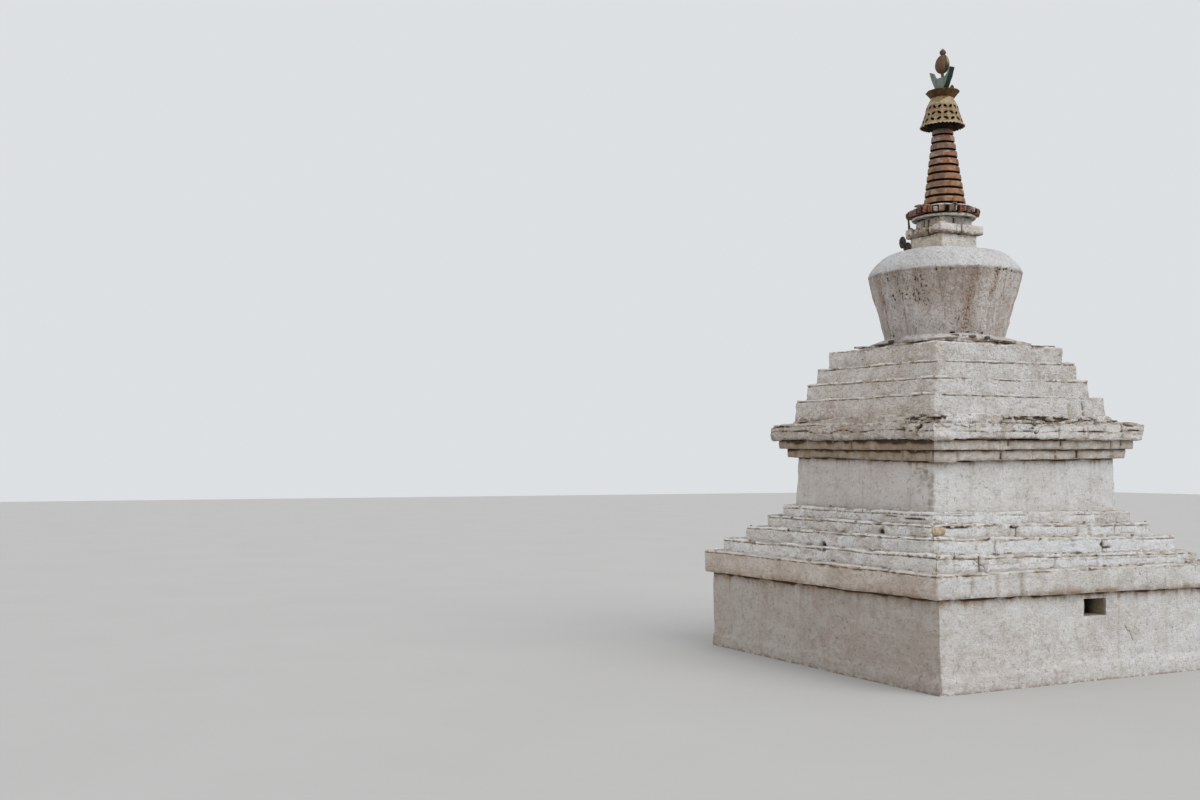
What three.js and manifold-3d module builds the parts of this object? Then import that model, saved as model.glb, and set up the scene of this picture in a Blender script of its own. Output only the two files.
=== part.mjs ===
import * as THREE from 'three';
import { mergeVertices } from 'three/addons/utils/BufferGeometryUtils.js';
import Module from 'manifold-3d';

// A whitewashed stupa of solid rubble masonry under a ringed spire, in millimetres with +Z up.
// The origin is on the ground at the centre of the square plan. The corner nearest to the viewer
// of the photograph is the one at +X and -Y, and the vent is in the +X face.

const wasm = await Module();
wasm.setup();

// Square courses from the ground up: name, half-width at the foot, half-width at the top, height.
const SQUARE_COURSES = [
  ['plinth', 1727, 1727, 774],
  ['plinth_ledge', 1793, 1793, 227],
  ['lower_step_1', 1634, 1634, 111],
  ['lower_step_2', 1477, 1477, 145],
  ['lower_step_3', 1322, 1322, 114],
  ['throne_curb', 1203, 1203, 119],
  ['throne_block', 1100, 1096, 498],
  ['cornice_band_1', 1174, 1174, 89],
  ['cornice_band_2', 1230, 1230, 90],
  ['cornice_coping', 1291, 1291, 154],
  ['rubble_course', 1150, 1140, 77],
  ['upper_step_1', 1076, 1062, 185],
  ['upper_step_2', 986, 978, 162],
  ['upper_step_3', 908, 901, 168],
  ['upper_step_4', 813, 813, 170],
];

// The plinth's foot stands a little proud, and its vent is a blind recess under the ledge.
const FOOT = { footHalf: 1745, topHalf: 1741, height: 140 };
const VENT = { depth: 240, yLow: -22, yHigh: 256, zLow: 565, zHigh: 717 };

// The round body: a square bed of slates, a mortar skirt that turns the square into a circle, then a
// drum that widens upwards to a shoulder, which is given by [radius, height] points.
const SLATES = { half: 640, height: 27 };
const SKIRT = { footHalf: 618, topRadius: 603, height: 88 };
const DOME_FOOT_RADIUS = 597;
const DOME_HEIGHT = 897;
const DOME_SHOULDER = [
  [760, 636], [745, 668], [690, 736], [622, 803], [560, 844], [490, 865], [400, 884],
  [306, DOME_HEIGHT],
];
const DOME_SEGMENTS = 48;

// The square harmika on the dome, with its round plate and its crown of bricks laid like spokes.
const HARMIKA_COURSES = [
  ['harmika_block', 230, 230, 140],
  ['harmika_band', 271, 271, 95],
  ['harmika_neck', 198, 198, 85],
];
const PLATE = { radius: 334, height: 37 };
const CROWN = { radius: 374, jointRadius: 346, height: 78, bricks: 26, jointShare: 0.14 };
const CROWN_MORTAR = { footRadius: 300, topRadius: 262, height: 24 };

// The spire: a mast through thirteen rings. Each ring has a narrow foot, which shows as a dark gap.
const RING_COUNT = 13;
const RING_PITCH = 80;
const RING_FOOT_HEIGHT = 24;
const RING_FIRST_RADIUS = 209;
const RING_TAPER = 11.35;
const RING_FOOT_SHARE = 0.78;
const RING_EDGE_SHARE = 0.94;
const RING_SEGMENTS = 24;
const MAST_RADIUS = 30;
const MAST_CLEARANCE = 0.3;

// The bell umbrella and the saucer on it.
const BELL = { rimRadius: 226, height: 302, wall: 9, roof: 25, aboveSpireFoot: 820 };
const BELL_PROFILE = [[194, 72], [167, 152], [153, 211], [115, 291]];
const SAUCER = { footRadius: 114, rimRadius: 167, rimHeight: 50, height: 63 };
const ROUND_SEGMENTS = 32;

// The crescent moon, the egg of the sun and the jewel.
const CRESCENT = {
  thickness: 70, turn: THREE.MathUtils.degToRad(4), height: 234, tipOuter: 147, tipInner: 133,
  footHalfWidth: 30, outerControl: [84, 58], notchHeight: 150, notchHalfWidth: 40,
  innerControl: [100, 150],
};
const SUN = { stemRadius: 14, stemHeight: 48, radius: 72, height: 197 };
const JEWEL = { radius: 34, height: 64 };

// The loose ornaments at the harmika's corner at -X and -Y, placed by their distance from the axis.
const PROP = { fromAxis: 358, radius: 9 };
const MEDALLION = {
  thickness: 38, clearance: 0.5, outerFromAxis: 424, outerHalfWidth: 35, outerBelowBand: 85,
  outerAboveBand: 37, innerFromAxis: 375, innerHalfWidth: 41, innerBelowBand: 30,
};

function finish(colour, roughness, metalness) {
  return () => new THREE.MeshStandardMaterial({ color: colour, roughness, metalness });
}

const whitewash = finish(0xc4bfb9, 0.95, 0);
const bareStone = finish(0x9b8f80, 0.95, 0);
const brick = finish(0x74503f, 0.9, 0);
const terracotta = finish(0x87583f, 0.85, 0);
const oldTimber = finish(0x4a3a2e, 0.85, 0);
const gilding = finish(0x8a7150, 0.55, 0.6);
const patina = finish(0x66705d, 0.7, 0.3);
const sunWood = finish(0x6f5441, 0.7, 0);
const jewelRed = finish(0x6e4c4c, 0.6, 0);
const darkStone = finish(0x54493f, 0.9, 0);

const stupa = new THREE.Group();
stupa.name = 'stupa';

function place(name, geometry, material, z) {
  const mesh = new THREE.Mesh(geometry, material());
  mesh.name = name;
  mesh.position.z = z;
  stupa.add(mesh);
  return mesh;
}

// A square course with battered sides, standing on z = 0.
function squareCourse(footHalf, topHalf, height) {
  const geometry = new THREE.CylinderGeometry(
    topHalf * Math.SQRT2, footHalf * Math.SQRT2, height, 4, 1, false, Math.PI / 4);
  geometry.rotateX(Math.PI / 2);
  geometry.translate(0, 0, height / 2);
  return geometry;
}

// A turned body from a profile of [radius, height] points, listed with the material on the left.
function turned(profile, segments) {
  const points = profile.map(([radius, height]) => new THREE.Vector2(radius, height));
  const geometry = new THREE.LatheGeometry(points, segments);
  geometry.rotateX(Math.PI / 2);
  return geometry;
}

function toSolid(geometry) {
  const bare = geometry.clone();
  bare.deleteAttribute('normal');
  bare.deleteAttribute('uv');
  const merged = mergeVertices(bare);
  return new wasm.Manifold(new wasm.Mesh({
    numProp: 3,
    vertProperties: new Float32Array(merged.attributes.position.array),
    triVerts: new Uint32Array(merged.index.array),
  }));
}

function toGeometry(solid) {
  const mesh = solid.getMesh();
  const geometry = new THREE.BufferGeometry();
  geometry.setAttribute('position', new THREE.BufferAttribute(mesh.vertProperties, 3));
  geometry.setIndex(new THREE.BufferAttribute(mesh.triVerts, 1));
  geometry.computeVertexNormals();
  return geometry;
}

// The plinth with its proud foot, and the vent cut into its +X face.
function ventedPlinth(footHalf, topHalf, height) {
  const runOut = 50;
  const width = VENT.yHigh - VENT.yLow;
  const cutter = new THREE.BoxGeometry(VENT.depth + runOut, width, VENT.zHigh - VENT.zLow);
  cutter.translate(
    footHalf - (VENT.depth - runOut) / 2,
    (VENT.yLow + VENT.yHigh) / 2,
    (VENT.zLow + VENT.zHigh) / 2);
  const body = toSolid(squareCourse(footHalf, topHalf, height));
  const foot = toSolid(squareCourse(FOOT.footHalf, FOOT.topHalf, FOOT.height));
  return toGeometry(body.add(foot).subtract(toSolid(cutter)));
}

// The mortar skirt: a loft from a square foot to a round top, closed by a fan at each end.
function mortarSkirt() {
  const step = (2 * Math.PI) / DOME_SEGMENTS;
  const positions = [0, 0, 0, 0, 0, SKIRT.height];
  const indices = [];
  const footCentre = 0;
  const topCentre = 1;
  for (let i = 0; i < DOME_SEGMENTS; i += 1) {
    const cos = Math.cos(i * step);
    const sin = Math.sin(i * step);
    const reach = SKIRT.footHalf / Math.max(Math.abs(cos), Math.abs(sin));
    positions.push(reach * cos, reach * sin, 0);
    positions.push(SKIRT.topRadius * cos, SKIRT.topRadius * sin, SKIRT.height);
    const foot = 2 + 2 * i;
    const top = foot + 1;
    const nextFoot = 2 + 2 * ((i + 1) % DOME_SEGMENTS);
    const nextTop = nextFoot + 1;
    indices.push(footCentre, nextFoot, foot, topCentre, top, nextTop);
    indices.push(foot, nextFoot, nextTop, foot, nextTop, top);
  }
  const geometry = new THREE.BufferGeometry();
  geometry.setAttribute('position', new THREE.Float32BufferAttribute(positions, 3));
  geometry.setIndex(indices);
  geometry.computeVertexNormals();
  return geometry;
}

// Bricks laid like spokes: a disc whose edge is notched at each joint.
function brickCrown() {
  const outline = new THREE.Shape();
  const step = (2 * Math.PI) / CROWN.bricks;
  const halfJoint = (step * CROWN.jointShare) / 2;
  for (let i = 0; i < CROWN.bricks; i += 1) {
    const joint = i * step;
    const next = joint + step;
    const corners = [
      [CROWN.jointRadius, joint - halfJoint], [CROWN.jointRadius, joint + halfJoint],
      [CROWN.radius, joint + halfJoint], [CROWN.radius, next - halfJoint],
    ];
    corners.forEach(([radius, angle], k) => {
      const x = radius * Math.cos(angle);
      const y = radius * Math.sin(angle);
      if (i === 0 && k === 0) {
        outline.moveTo(x, y);
      } else {
        outline.lineTo(x, y);
      }
    });
  }
  outline.closePath();
  return new THREE.ExtrudeGeometry(outline, { depth: CROWN.height, bevelEnabled: false });
}

// One ring: an annulus round the mast, with a narrow foot under a disc with a rounded edge.
function spireRing(radius) {
  const bore = MAST_RADIUS + MAST_CLEARANCE;
  const footRadius = radius * RING_FOOT_SHARE;
  const edgeRadius = radius * RING_EDGE_SHARE;
  const middle = (RING_FOOT_HEIGHT + RING_PITCH) / 2;
  return turned([
    [bore, 0], [footRadius, 0], [footRadius, RING_FOOT_HEIGHT], [edgeRadius, RING_FOOT_HEIGHT],
    [radius, middle], [edgeRadius, RING_PITCH], [bore, RING_PITCH], [bore, 0],
  ], RING_SEGMENTS);
}

// The bell is a thin shell, open below, under a solid roof that rests on the mast.
function bellShell() {
  const outer = [[BELL.rimRadius, 0], ...BELL_PROFILE, [SAUCER.footRadius, BELL.height]];
  const underRoof = BELL.height - BELL.roof;
  const inner = BELL_PROFILE.slice(0, -1).reverse().map(([radius, z]) => [radius - BELL.wall, z]);
  const roofInner = SAUCER.footRadius - BELL.wall;
  return turned([
    [0, underRoof], [roofInner, underRoof], ...inner, [BELL.rimRadius - BELL.wall, 0],
    ...outer, [0, BELL.height],
  ], ROUND_SEGMENTS);
}

// The crescent is a thick plate with cut horns and a flat seat for the sun's stem in its notch.
function crescentPlate() {
  const c = CRESCENT;
  const outline = new THREE.Shape();
  outline.moveTo(-c.footHalfWidth, 0);
  outline.lineTo(c.footHalfWidth, 0);
  outline.quadraticCurveTo(...c.outerControl, c.tipOuter, c.height);
  outline.lineTo(c.tipInner, c.height);
  outline.quadraticCurveTo(...c.innerControl, c.notchHalfWidth, c.notchHeight);
  outline.lineTo(-c.notchHalfWidth, c.notchHeight);
  outline.quadraticCurveTo(-c.innerControl[0], c.innerControl[1], -c.tipInner, c.height);
  outline.lineTo(-c.tipOuter, c.height);
  outline.quadraticCurveTo(-c.outerControl[0], c.outerControl[1], -c.footHalfWidth, 0);
  const curveSteps = 8;
  const geometry = new THREE.ExtrudeGeometry(
    outline, { depth: c.thickness, bevelEnabled: false, curveSegments: curveSteps });
  geometry.rotateX(Math.PI / 2);
  geometry.translate(0, c.thickness / 2, 0);
  geometry.rotateZ(c.turn);
  return geometry;
}

// An egg, fuller below its middle, on a short stem.
function sunEgg() {
  const steps = 10;
  const fullness = 0.12;
  const profile = [[0, 0], [SUN.stemRadius, 0]];
  for (let i = 1; i < steps; i += 1) {
    const angle = (Math.PI * i) / steps;
    const radius = SUN.radius * Math.sin(angle) * (1 + fullness * Math.cos(angle));
    const z = SUN.stemHeight + (SUN.height * (1 - Math.cos(angle))) / 2;
    profile.push([Math.max(radius, SUN.stemRadius), z]);
  }
  profile.push([SUN.stemRadius, SUN.stemHeight + SUN.height]);
  profile.push([0, SUN.stemHeight + SUN.height]);
  return turned(profile, 20);
}

function jewelBud() {
  const waist = 0.55;
  const widestAt = 0.4;
  return turned([
    [0, 0], [JEWEL.radius * waist, 0], [JEWEL.radius, JEWEL.height * widestAt],
    [JEWEL.radius * waist, JEWEL.height * (1 + widestAt) / 2], [0, JEWEL.height],
  ], 16);
}

function domeBody() {
  const foot = [[0, 0], [DOME_FOOT_RADIUS, 0]];
  return turned([...foot, ...DOME_SHOULDER, [0, DOME_HEIGHT]], DOME_SEGMENTS);
}

// Height of the dome's shoulder at a radius, between two points of its profile.
function shoulderHeight(radius) {
  const next = DOME_SHOULDER.findIndex(([pointRadius]) => pointRadius <= radius);
  const [outerRadius, outerHeight] = DOME_SHOULDER[next - 1];
  const [innerRadius, innerHeight] = DOME_SHOULDER[next];
  const share = (outerRadius - radius) / (outerRadius - innerRadius);
  return THREE.MathUtils.lerp(outerHeight, innerHeight, share);
}

// Lobes joined in one piece that stands on edge, with its flat sides facing the corner at +X and
// -Y. Each lobe is given by its distance from the axis, its half-width, its foot and its top.
function standingLobes(lobes, thickness) {
  const solids = lobes.map(([fromAxis, halfWidth, foot, top]) => {
    const geometry = new THREE.CylinderGeometry(halfWidth, halfWidth, thickness, 24);
    geometry.scale(1, 1, (top - foot) / (2 * halfWidth));
    geometry.translate(-fromAxis, 0, (foot + top) / 2);
    geometry.rotateZ(Math.PI / 4);
    return toSolid(geometry);
  });
  return toGeometry(solids.reduce((whole, solid) => whole.add(solid)));
}

function uprightRod(radius, height) {
  const geometry = new THREE.CylinderGeometry(radius, radius, height, 10);
  geometry.rotateX(Math.PI / 2);
  geometry.translate(0, 0, height / 2);
  return geometry;
}

// The masonry, course on course.
let z = 0;
for (const [name, footHalf, topHalf, height] of SQUARE_COURSES) {
  const makeCourse = name === 'plinth' ? ventedPlinth : squareCourse;
  const material = name === 'rubble_course' ? bareStone : whitewash;
  place(name, makeCourse(footHalf, topHalf, height), material, z);
  z += height;
}

place('dome_slates', squareCourse(SLATES.half, SLATES.half, SLATES.height), bareStone, z);
z += SLATES.height;
place('dome_skirt', mortarSkirt(), whitewash, z);
z += SKIRT.height;

const domeFoot = z;
place('dome', domeBody(), whitewash, domeFoot);
z += DOME_HEIGHT;

const harmikaTops = {};
for (const [name, footHalf, topHalf, height] of HARMIKA_COURSES) {
  place(name, squareCourse(footHalf, topHalf, height), whitewash, z);
  z += height;
  harmikaTops[name] = z;
}

place('harmika_plate', turned([
  [0, 0], [PLATE.radius, 0], [PLATE.radius, PLATE.height], [0, PLATE.height],
], ROUND_SEGMENTS), whitewash, z);
z += PLATE.height;

const crownFoot = z;
place('brick_crown', brickCrown(), brick, crownFoot);
z += CROWN.height;

place('crown_mortar', turned([
  [0, 0], [CROWN_MORTAR.footRadius, 0], [CROWN_MORTAR.topRadius, CROWN_MORTAR.height],
  [0, CROWN_MORTAR.height],
], ROUND_SEGMENTS), whitewash, z);
z += CROWN_MORTAR.height;

// The spire.
const spireFoot = z;
const bellFoot = spireFoot + BELL.aboveSpireFoot;
const mastHeight = bellFoot + BELL.height - BELL.roof - spireFoot;
place('spire_mast', turned([
  [0, 0], [MAST_RADIUS, 0], [MAST_RADIUS, mastHeight], [0, mastHeight],
], 16), oldTimber, spireFoot);
for (let i = 0; i < RING_COUNT; i += 1) {
  const name = `spire_ring_${String(i + 1).padStart(2, '0')}`;
  const radius = RING_FIRST_RADIUS - RING_TAPER * i;
  place(name, spireRing(radius), terracotta, spireFoot + RING_PITCH * i);
}

// The crown of the spire.
place('umbrella_bell', bellShell(), gilding, bellFoot);
z = bellFoot + BELL.height;
place('umbrella_saucer', turned([
  [0, 0], [SAUCER.footRadius, 0], [SAUCER.rimRadius, SAUCER.rimHeight],
  [SAUCER.rimRadius, SAUCER.height], [0, SAUCER.height],
], ROUND_SEGMENTS), gilding, z);
z += SAUCER.height;
place('crescent_moon', crescentPlate(), patina, z);
z += CRESCENT.notchHeight;
place('sun_finial', sunEgg(), sunWood, z);
z += SUN.stemHeight + SUN.height;
place('jewel_tip', jewelBud(), jewelRed, z);

// The loose ornaments at the harmika's corner.
const bandTop = harmikaTops.harmika_band;
const bandFoot = harmikaTops.harmika_block;
const rod = place('corner_prop', uprightRod(PROP.radius, crownFoot - bandTop), oldTimber, bandTop);
rod.position.x = -PROP.fromAxis * Math.SQRT1_2;
rod.position.y = rod.position.x;
const medallionFoot = domeFoot + shoulderHeight(MEDALLION.innerFromAxis) + MEDALLION.clearance;
const outerLobe = [
  MEDALLION.outerFromAxis, MEDALLION.outerHalfWidth, -MEDALLION.outerBelowBand,
  MEDALLION.outerAboveBand,
];
const innerLobe = [
  MEDALLION.innerFromAxis, MEDALLION.innerHalfWidth, medallionFoot - bandFoot,
  -MEDALLION.innerBelowBand,
];
place(
  'corner_medallion', standingLobes([outerLobe, innerLobe], MEDALLION.thickness), darkStone,
  bandFoot);

export default stupa;
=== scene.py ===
import math

import bmesh
import bpy
import mathutils
import numpy as np
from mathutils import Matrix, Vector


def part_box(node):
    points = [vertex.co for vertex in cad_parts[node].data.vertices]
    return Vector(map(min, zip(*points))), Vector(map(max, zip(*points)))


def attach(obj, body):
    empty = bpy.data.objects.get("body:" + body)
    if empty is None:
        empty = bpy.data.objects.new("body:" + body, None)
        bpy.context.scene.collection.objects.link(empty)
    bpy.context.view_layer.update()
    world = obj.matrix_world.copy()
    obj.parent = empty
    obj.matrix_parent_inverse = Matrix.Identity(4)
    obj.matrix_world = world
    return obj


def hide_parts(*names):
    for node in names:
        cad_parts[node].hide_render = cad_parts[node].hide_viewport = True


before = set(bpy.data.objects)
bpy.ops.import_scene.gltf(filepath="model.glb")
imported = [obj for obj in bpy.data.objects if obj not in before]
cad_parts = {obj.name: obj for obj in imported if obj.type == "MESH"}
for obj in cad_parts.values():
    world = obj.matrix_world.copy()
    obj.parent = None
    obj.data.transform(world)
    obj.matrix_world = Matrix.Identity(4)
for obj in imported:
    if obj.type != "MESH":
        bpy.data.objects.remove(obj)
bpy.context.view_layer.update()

# The photograph's camera, in metres and radians, solved from the stupa's own corners and circles.
CAMERA_PLACE = (10.306, -9.065, 1.938)
CAMERA_YAW = 1.10932
CAMERA_PITCH = 0.04788
CAMERA_ROLL = 0.00064
FOCAL_PIXELS = 1306.15
PHOTO_WIDTH = 1200
SENSOR_MM = 36.0

# The real stupa is a little out of square. For each height: how far the near, left and right
# corners lie from a true square, sideways as the photograph's camera sees it, and upwards.
LEAN = np.array([
    # height, near side, near up, left side, left up, right side, right up
    (0.000, 0.078, 0.000, 0.000, 0.000, 0.000, 0.000),
    (0.774, 0.069, 0.022, 0.000, 0.000, 0.000, 0.000),
    (1.001, 0.066, 0.004, -0.003, 0.001, 0.000, 0.000),
    (1.112, 0.045, 0.038, -0.030, 0.020, -0.003, -0.022),
    (1.257, 0.004, 0.027, 0.001, 0.006, 0.024, -0.026),
    (1.371, -0.034, 0.020, 0.012, 0.014, 0.030, -0.008),
    (1.490, -0.028, 0.004, 0.010, 0.002, 0.024, -0.020),
    (1.988, -0.028, -0.034, 0.030, 0.010, 0.018, -0.005),
    (2.077, -0.020, -0.028, 0.020, 0.008, 0.017, -0.003),
    (2.167, -0.008, -0.022, 0.009, 0.009, 0.013, -0.004),
    (2.321, -0.006, -0.019, 0.009, 0.015, 0.016, -0.008),
    (2.583, -0.008, -0.005, -0.038, 0.002, -0.017, -0.008),
    (2.745, -0.007, -0.012, -0.041, 0.007, -0.040, -0.007),
    (2.913, -0.008, -0.017, -0.039, 0.001, -0.038, 0.005),
    (3.083, -0.013, -0.008, -0.041, 0.005, -0.041, -0.007),
])
# Level and to the right, as the photograph's camera sees it.
SIDEWAYS = np.array([math.cos(CAMERA_YAW), math.sin(CAMERA_YAW), 0.0])

# The dome's foot, the height of its crease over that, and the shoulder as radius and height.
DOME_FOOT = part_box("dome")[0].z
DOME_CREASE = 0.636
DOME_SHOULDER = [(0.766, 0.636), (0.756, 0.668), (0.702, 0.738), (0.634, 0.806), (0.570, 0.848),
                 (0.492, 0.869), (0.400, 0.886), (0.306, 0.897)]


# ---------------------------------------------------------------- noise

def hashed(ix, iy, iz, seed):
    """Pseudo-random numbers from 0 to 1 for whole-number cells."""
    h = (ix * 73856093) ^ (iy * 19349663) ^ (iz * 83492791) ^ (seed * 26544357)
    h = h & 0xFFFFFFFF
    for _ in range(2):
        h = ((h ^ (h >> 16)) * 0x45D9F3B) & 0xFFFFFFFF
    h = h ^ (h >> 16)
    return h / 4294967295.0


def noise(points, size, seed=0):
    """Smooth noise from -1 to 1. The size of its waves is in metres, one number or one an axis."""
    q = points / np.asarray(size, float)
    cell = np.floor(q).astype(np.int64)
    f = q - cell
    f = f * f * (3 - 2 * f)
    total = np.zeros(len(points))
    for dx in (0, 1):
        wx = f[:, 0] if dx else 1 - f[:, 0]
        for dy in (0, 1):
            wy = f[:, 1] if dy else 1 - f[:, 1]
            for dz in (0, 1):
                wz = f[:, 2] if dz else 1 - f[:, 2]
                corner = hashed(cell[:, 0] + dx, cell[:, 1] + dy, cell[:, 2] + dz, seed)
                total += wx * wy * wz * corner
    return total * 2 - 1


def rough_noise(points, size, seed=0, octaves=3):
    """Noise in octaves, each half as wide and half as strong as the one before."""
    size = np.asarray(size, float)
    total = np.zeros(len(points))
    for k in range(octaves):
        total += noise(points, size / 2 ** k, seed + 17 * k) / 2 ** k
    return total


def smooth(value, low, high):
    """A smooth step from 0 at low to 1 at high. Low may be the higher of the two."""
    t = np.clip((value - low) / (high - low), 0, 1)
    return t * t * (3 - 2 * t)


# ---------------------------------------------------------------- meshes

class Shape:
    """Points with faces and marks, to be joined and turned into one object."""

    def __init__(self, points, quads=None, tris=None, **marks):
        self.points = np.asarray(points, float)
        self.quads = np.zeros((0, 4), int) if quads is None else np.asarray(quads, int)
        self.tris = np.zeros((0, 3), int) if tris is None else np.asarray(tris, int)
        self.marks = marks

    def mark(self, **marks):
        """Gives all the points the same marks, or one value each."""
        for key, value in marks.items():
            self.marks[key] = np.full(len(self.points), value, float)

    def joined(self, other):
        """This shape and another as a new one. A mark that one of them lacks is 0 there."""
        shift = len(self.points)
        marks = {}
        for key in set(self.marks) | set(other.marks):
            ours = self.marks.get(key, np.zeros(len(self.points)))
            theirs = other.marks.get(key, np.zeros(len(other.points)))
            marks[key] = np.concatenate([ours, theirs])
        return Shape(np.concatenate([self.points, other.points]),
                     np.concatenate([self.quads, other.quads + shift]),
                     np.concatenate([self.tris, other.tris + shift]), **marks)


def aside(shape, distance):
    """Moves a shape to the right as the photograph's camera sees it: the real spire isn't straight."""
    shape.points = shape.points + distance * SIDEWAYS
    return shape


def join_all(shapes):
    """All the shapes as one."""
    total = shapes[0]
    for shape in shapes[1:]:
        total = total.joined(shape)
    return total


def make(name, shape, material, nodes, sharp=55):
    """Turns a shape into an object that stands for the named CAD nodes."""
    mesh = bpy.data.meshes.new(name)
    mesh.vertices.add(len(shape.points))
    mesh.vertices.foreach_set("co", shape.points.astype(np.float32).ravel())
    corners = np.concatenate([shape.quads.ravel(), shape.tris.ravel()]).astype(np.int32)
    mesh.loops.add(len(corners))
    mesh.loops.foreach_set("vertex_index", corners)
    quad_count, tri_count = len(shape.quads), len(shape.tris)
    mesh.polygons.add(quad_count + tri_count)
    starts = np.concatenate([
        np.arange(quad_count) * 4, quad_count * 4 + np.arange(tri_count) * 3]).astype(np.int32)
    mesh.polygons.foreach_set("loop_start", starts)
    mesh.update(calc_edges=True)
    mesh.validate()
    mesh.polygons.foreach_set("use_smooth", np.ones(quad_count + tri_count, bool))
    mesh.set_sharp_from_angle(angle=math.radians(sharp))
    for key, values in shape.marks.items():
        layer = mesh.attributes.new(key, "FLOAT", "POINT")
        layer.data.foreach_set("value", np.asarray(values, np.float32))
    obj = bpy.data.objects.new(name, mesh)
    bpy.context.collection.objects.link(obj)
    mesh.materials.append(material)
    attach(obj, "root")
    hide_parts(*nodes)
    return obj


def grid_quads(index):
    """Squares between rows of point numbers, each row closed round an axis."""
    after = np.roll(index, -1, axis=1)
    return np.stack([index[:-1], after[:-1], after[1:], index[1:]], -1).reshape(-1, 4)


def skin(rows, ring=False, **marks):
    """A closed surface over rows of points that run anticlockwise seen from above, from the foot
    up. Its ends are closed by fans, or in a ring by joining the last row to the first."""
    count, columns, _ = rows.shape
    index = np.arange(count * columns).reshape(count, columns)
    if ring:
        index = np.concatenate([index, index[:1]])
    after = np.roll(index, -1, axis=1)
    points = rows.reshape(-1, 3)
    tris = None
    if not ring:
        foot, top = len(points), len(points) + 1
        points = np.concatenate([points, [rows[0].mean(0)], [rows[-1].mean(0)]])
        tris = np.concatenate([
            np.stack([np.full(columns, foot), after[0], index[0]], -1),
            np.stack([np.full(columns, top), index[-1], after[-1]], -1)])
        marks = {k: np.concatenate([v, [0.0, 0.0]]) for k, v in marks.items()}
    return Shape(points, grid_quads(index), tris, **marks)


def resampled(profile, step):
    """The same profile with points no further apart than step."""
    result = [profile[0]]
    for a, b in zip(profile[:-1], profile[1:]):
        a, b = np.array(a, float), np.array(b, float)
        parts = max(1, int(math.ceil(np.linalg.norm(b - a) / step)))
        result.extend(tuple(a + (b - a) * k / parts) for k in range(1, parts + 1))
    return result


def circle(columns):
    """Cosines and sines of evenly spaced angles."""
    angle = np.arange(columns) * 2 * math.pi / columns
    return np.cos(angle), np.sin(angle)


def lathe_rows(profile, columns, centre=(0.0, 0.0), foot=0.0):
    """Rows of points round an axis, with the outward direction at each."""
    profile = np.array(profile, float)
    run = np.gradient(profile, axis=0)
    out = np.stack([run[:, 1], -run[:, 0]], -1)
    out /= np.maximum(np.linalg.norm(out, axis=1, keepdims=True), 1e-9)
    cos, sin = circle(columns)
    rows = np.stack([
        centre[0] + profile[:, :1] * cos, centre[1] + profile[:, :1] * sin,
        foot + np.repeat(profile[:, 1:], columns, axis=1)], -1)
    normals = np.stack([out[:, :1] * cos, out[:, :1] * sin, np.repeat(out[:, 1:], columns, axis=1)], -1)
    return rows, normals


def lathe(profile, columns, foot=0.0):
    """The same as a list of points, the direction at each, and the shape of the rows."""
    rows, normals = lathe_rows(profile, columns, foot=foot)
    return rows.reshape(-1, 3), normals.reshape(-1, 3), rows.shape


def block_template(cuts):
    """A cut-up cube's points, from -1 to 1 on each axis, and its faces."""
    bm = bmesh.new()
    bmesh.ops.create_cube(bm, size=2.0)
    bmesh.ops.subdivide_edges(bm, edges=bm.edges[:], cuts=cuts, use_grid_fill=True)
    bm.verts.ensure_lookup_table()
    points = np.array([v.co[:] for v in bm.verts])
    quads = np.array([[v.index for v in f.verts] for f in bm.faces])
    bm.free()
    return points, quads


BLOCKS = {cuts: block_template(cuts) for cuts in (1, 3, 5)}


def on_side(side, out, along):
    """A place by one of the four sides: 0 is +X, 1 is +Y, 2 is -X and 3 is -Y."""
    return [(out, along), (-along, out), (-out, -along), (along, -out)][side]


def at_bearing(angle, reach):
    """A place at a distance from the axis, at an angle in radians from +X towards +Y."""
    return reach * math.cos(angle), reach * math.sin(angle)


def block(size, place, turn, rounding, seed, rough=0.002, taper=0.0, cuts=3, tilt=0.0):
    """A rough block with softened edges: its own X is turned about Z by an angle."""
    unit, quads = BLOCKS[cuts]
    half = np.array(size) / 2
    p = unit * half
    core = np.clip(p, -(half - rounding), half - rounding)
    away = p - core
    away /= np.maximum(np.linalg.norm(away, axis=1, keepdims=True), 1e-9)
    p = core + rounding * away
    p[:, 1] *= 1 + taper * p[:, 0] / half[0]
    shift = np.array([seed * 3.7, seed * 1.3, seed * 2.1])
    p = p + away * rough_noise(p + shift, 0.05, seed)[:, None] * rough
    p[:, 2] += p[:, 0] * tilt
    cos, sin = math.cos(turn), math.sin(turn)
    x = p[:, 0] * cos - p[:, 1] * sin + place[0]
    y = p[:, 0] * sin + p[:, 1] * cos + place[1]
    return Shape(np.stack([x, y, p[:, 2] + place[2]], -1), quads)


# ---------------------------------------------------------------- masonry

def leaned(points, half, level=None):
    """Moves points from the true square to the stupa's own, which is a little out of square. An
    upright wall has the sideways shift of its top, at the given level, over its whole height."""
    z = points[:, 2]
    sx = np.clip(points[:, 0] / half, -1, 1)
    sy = np.clip(points[:, 1] / half, -1, 1)
    weights = ((1 + sx) * (1 - sy) / 4, (1 - sx) * (1 - sy) / 4, (1 + sx) * (1 + sy) / 4)
    moved = points.copy()
    for k, weight in enumerate(weights):
        side = np.interp(z if level is None else level, LEAN[:, 0], LEAN[:, 1 + 2 * k])
        up = np.interp(z, LEAN[:, 0], LEAN[:, 2 + 2 * k])
        moved += (weight * side)[:, None] * SIDEWAYS
        moved[:, 2] += weight * up
    return moved


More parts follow.
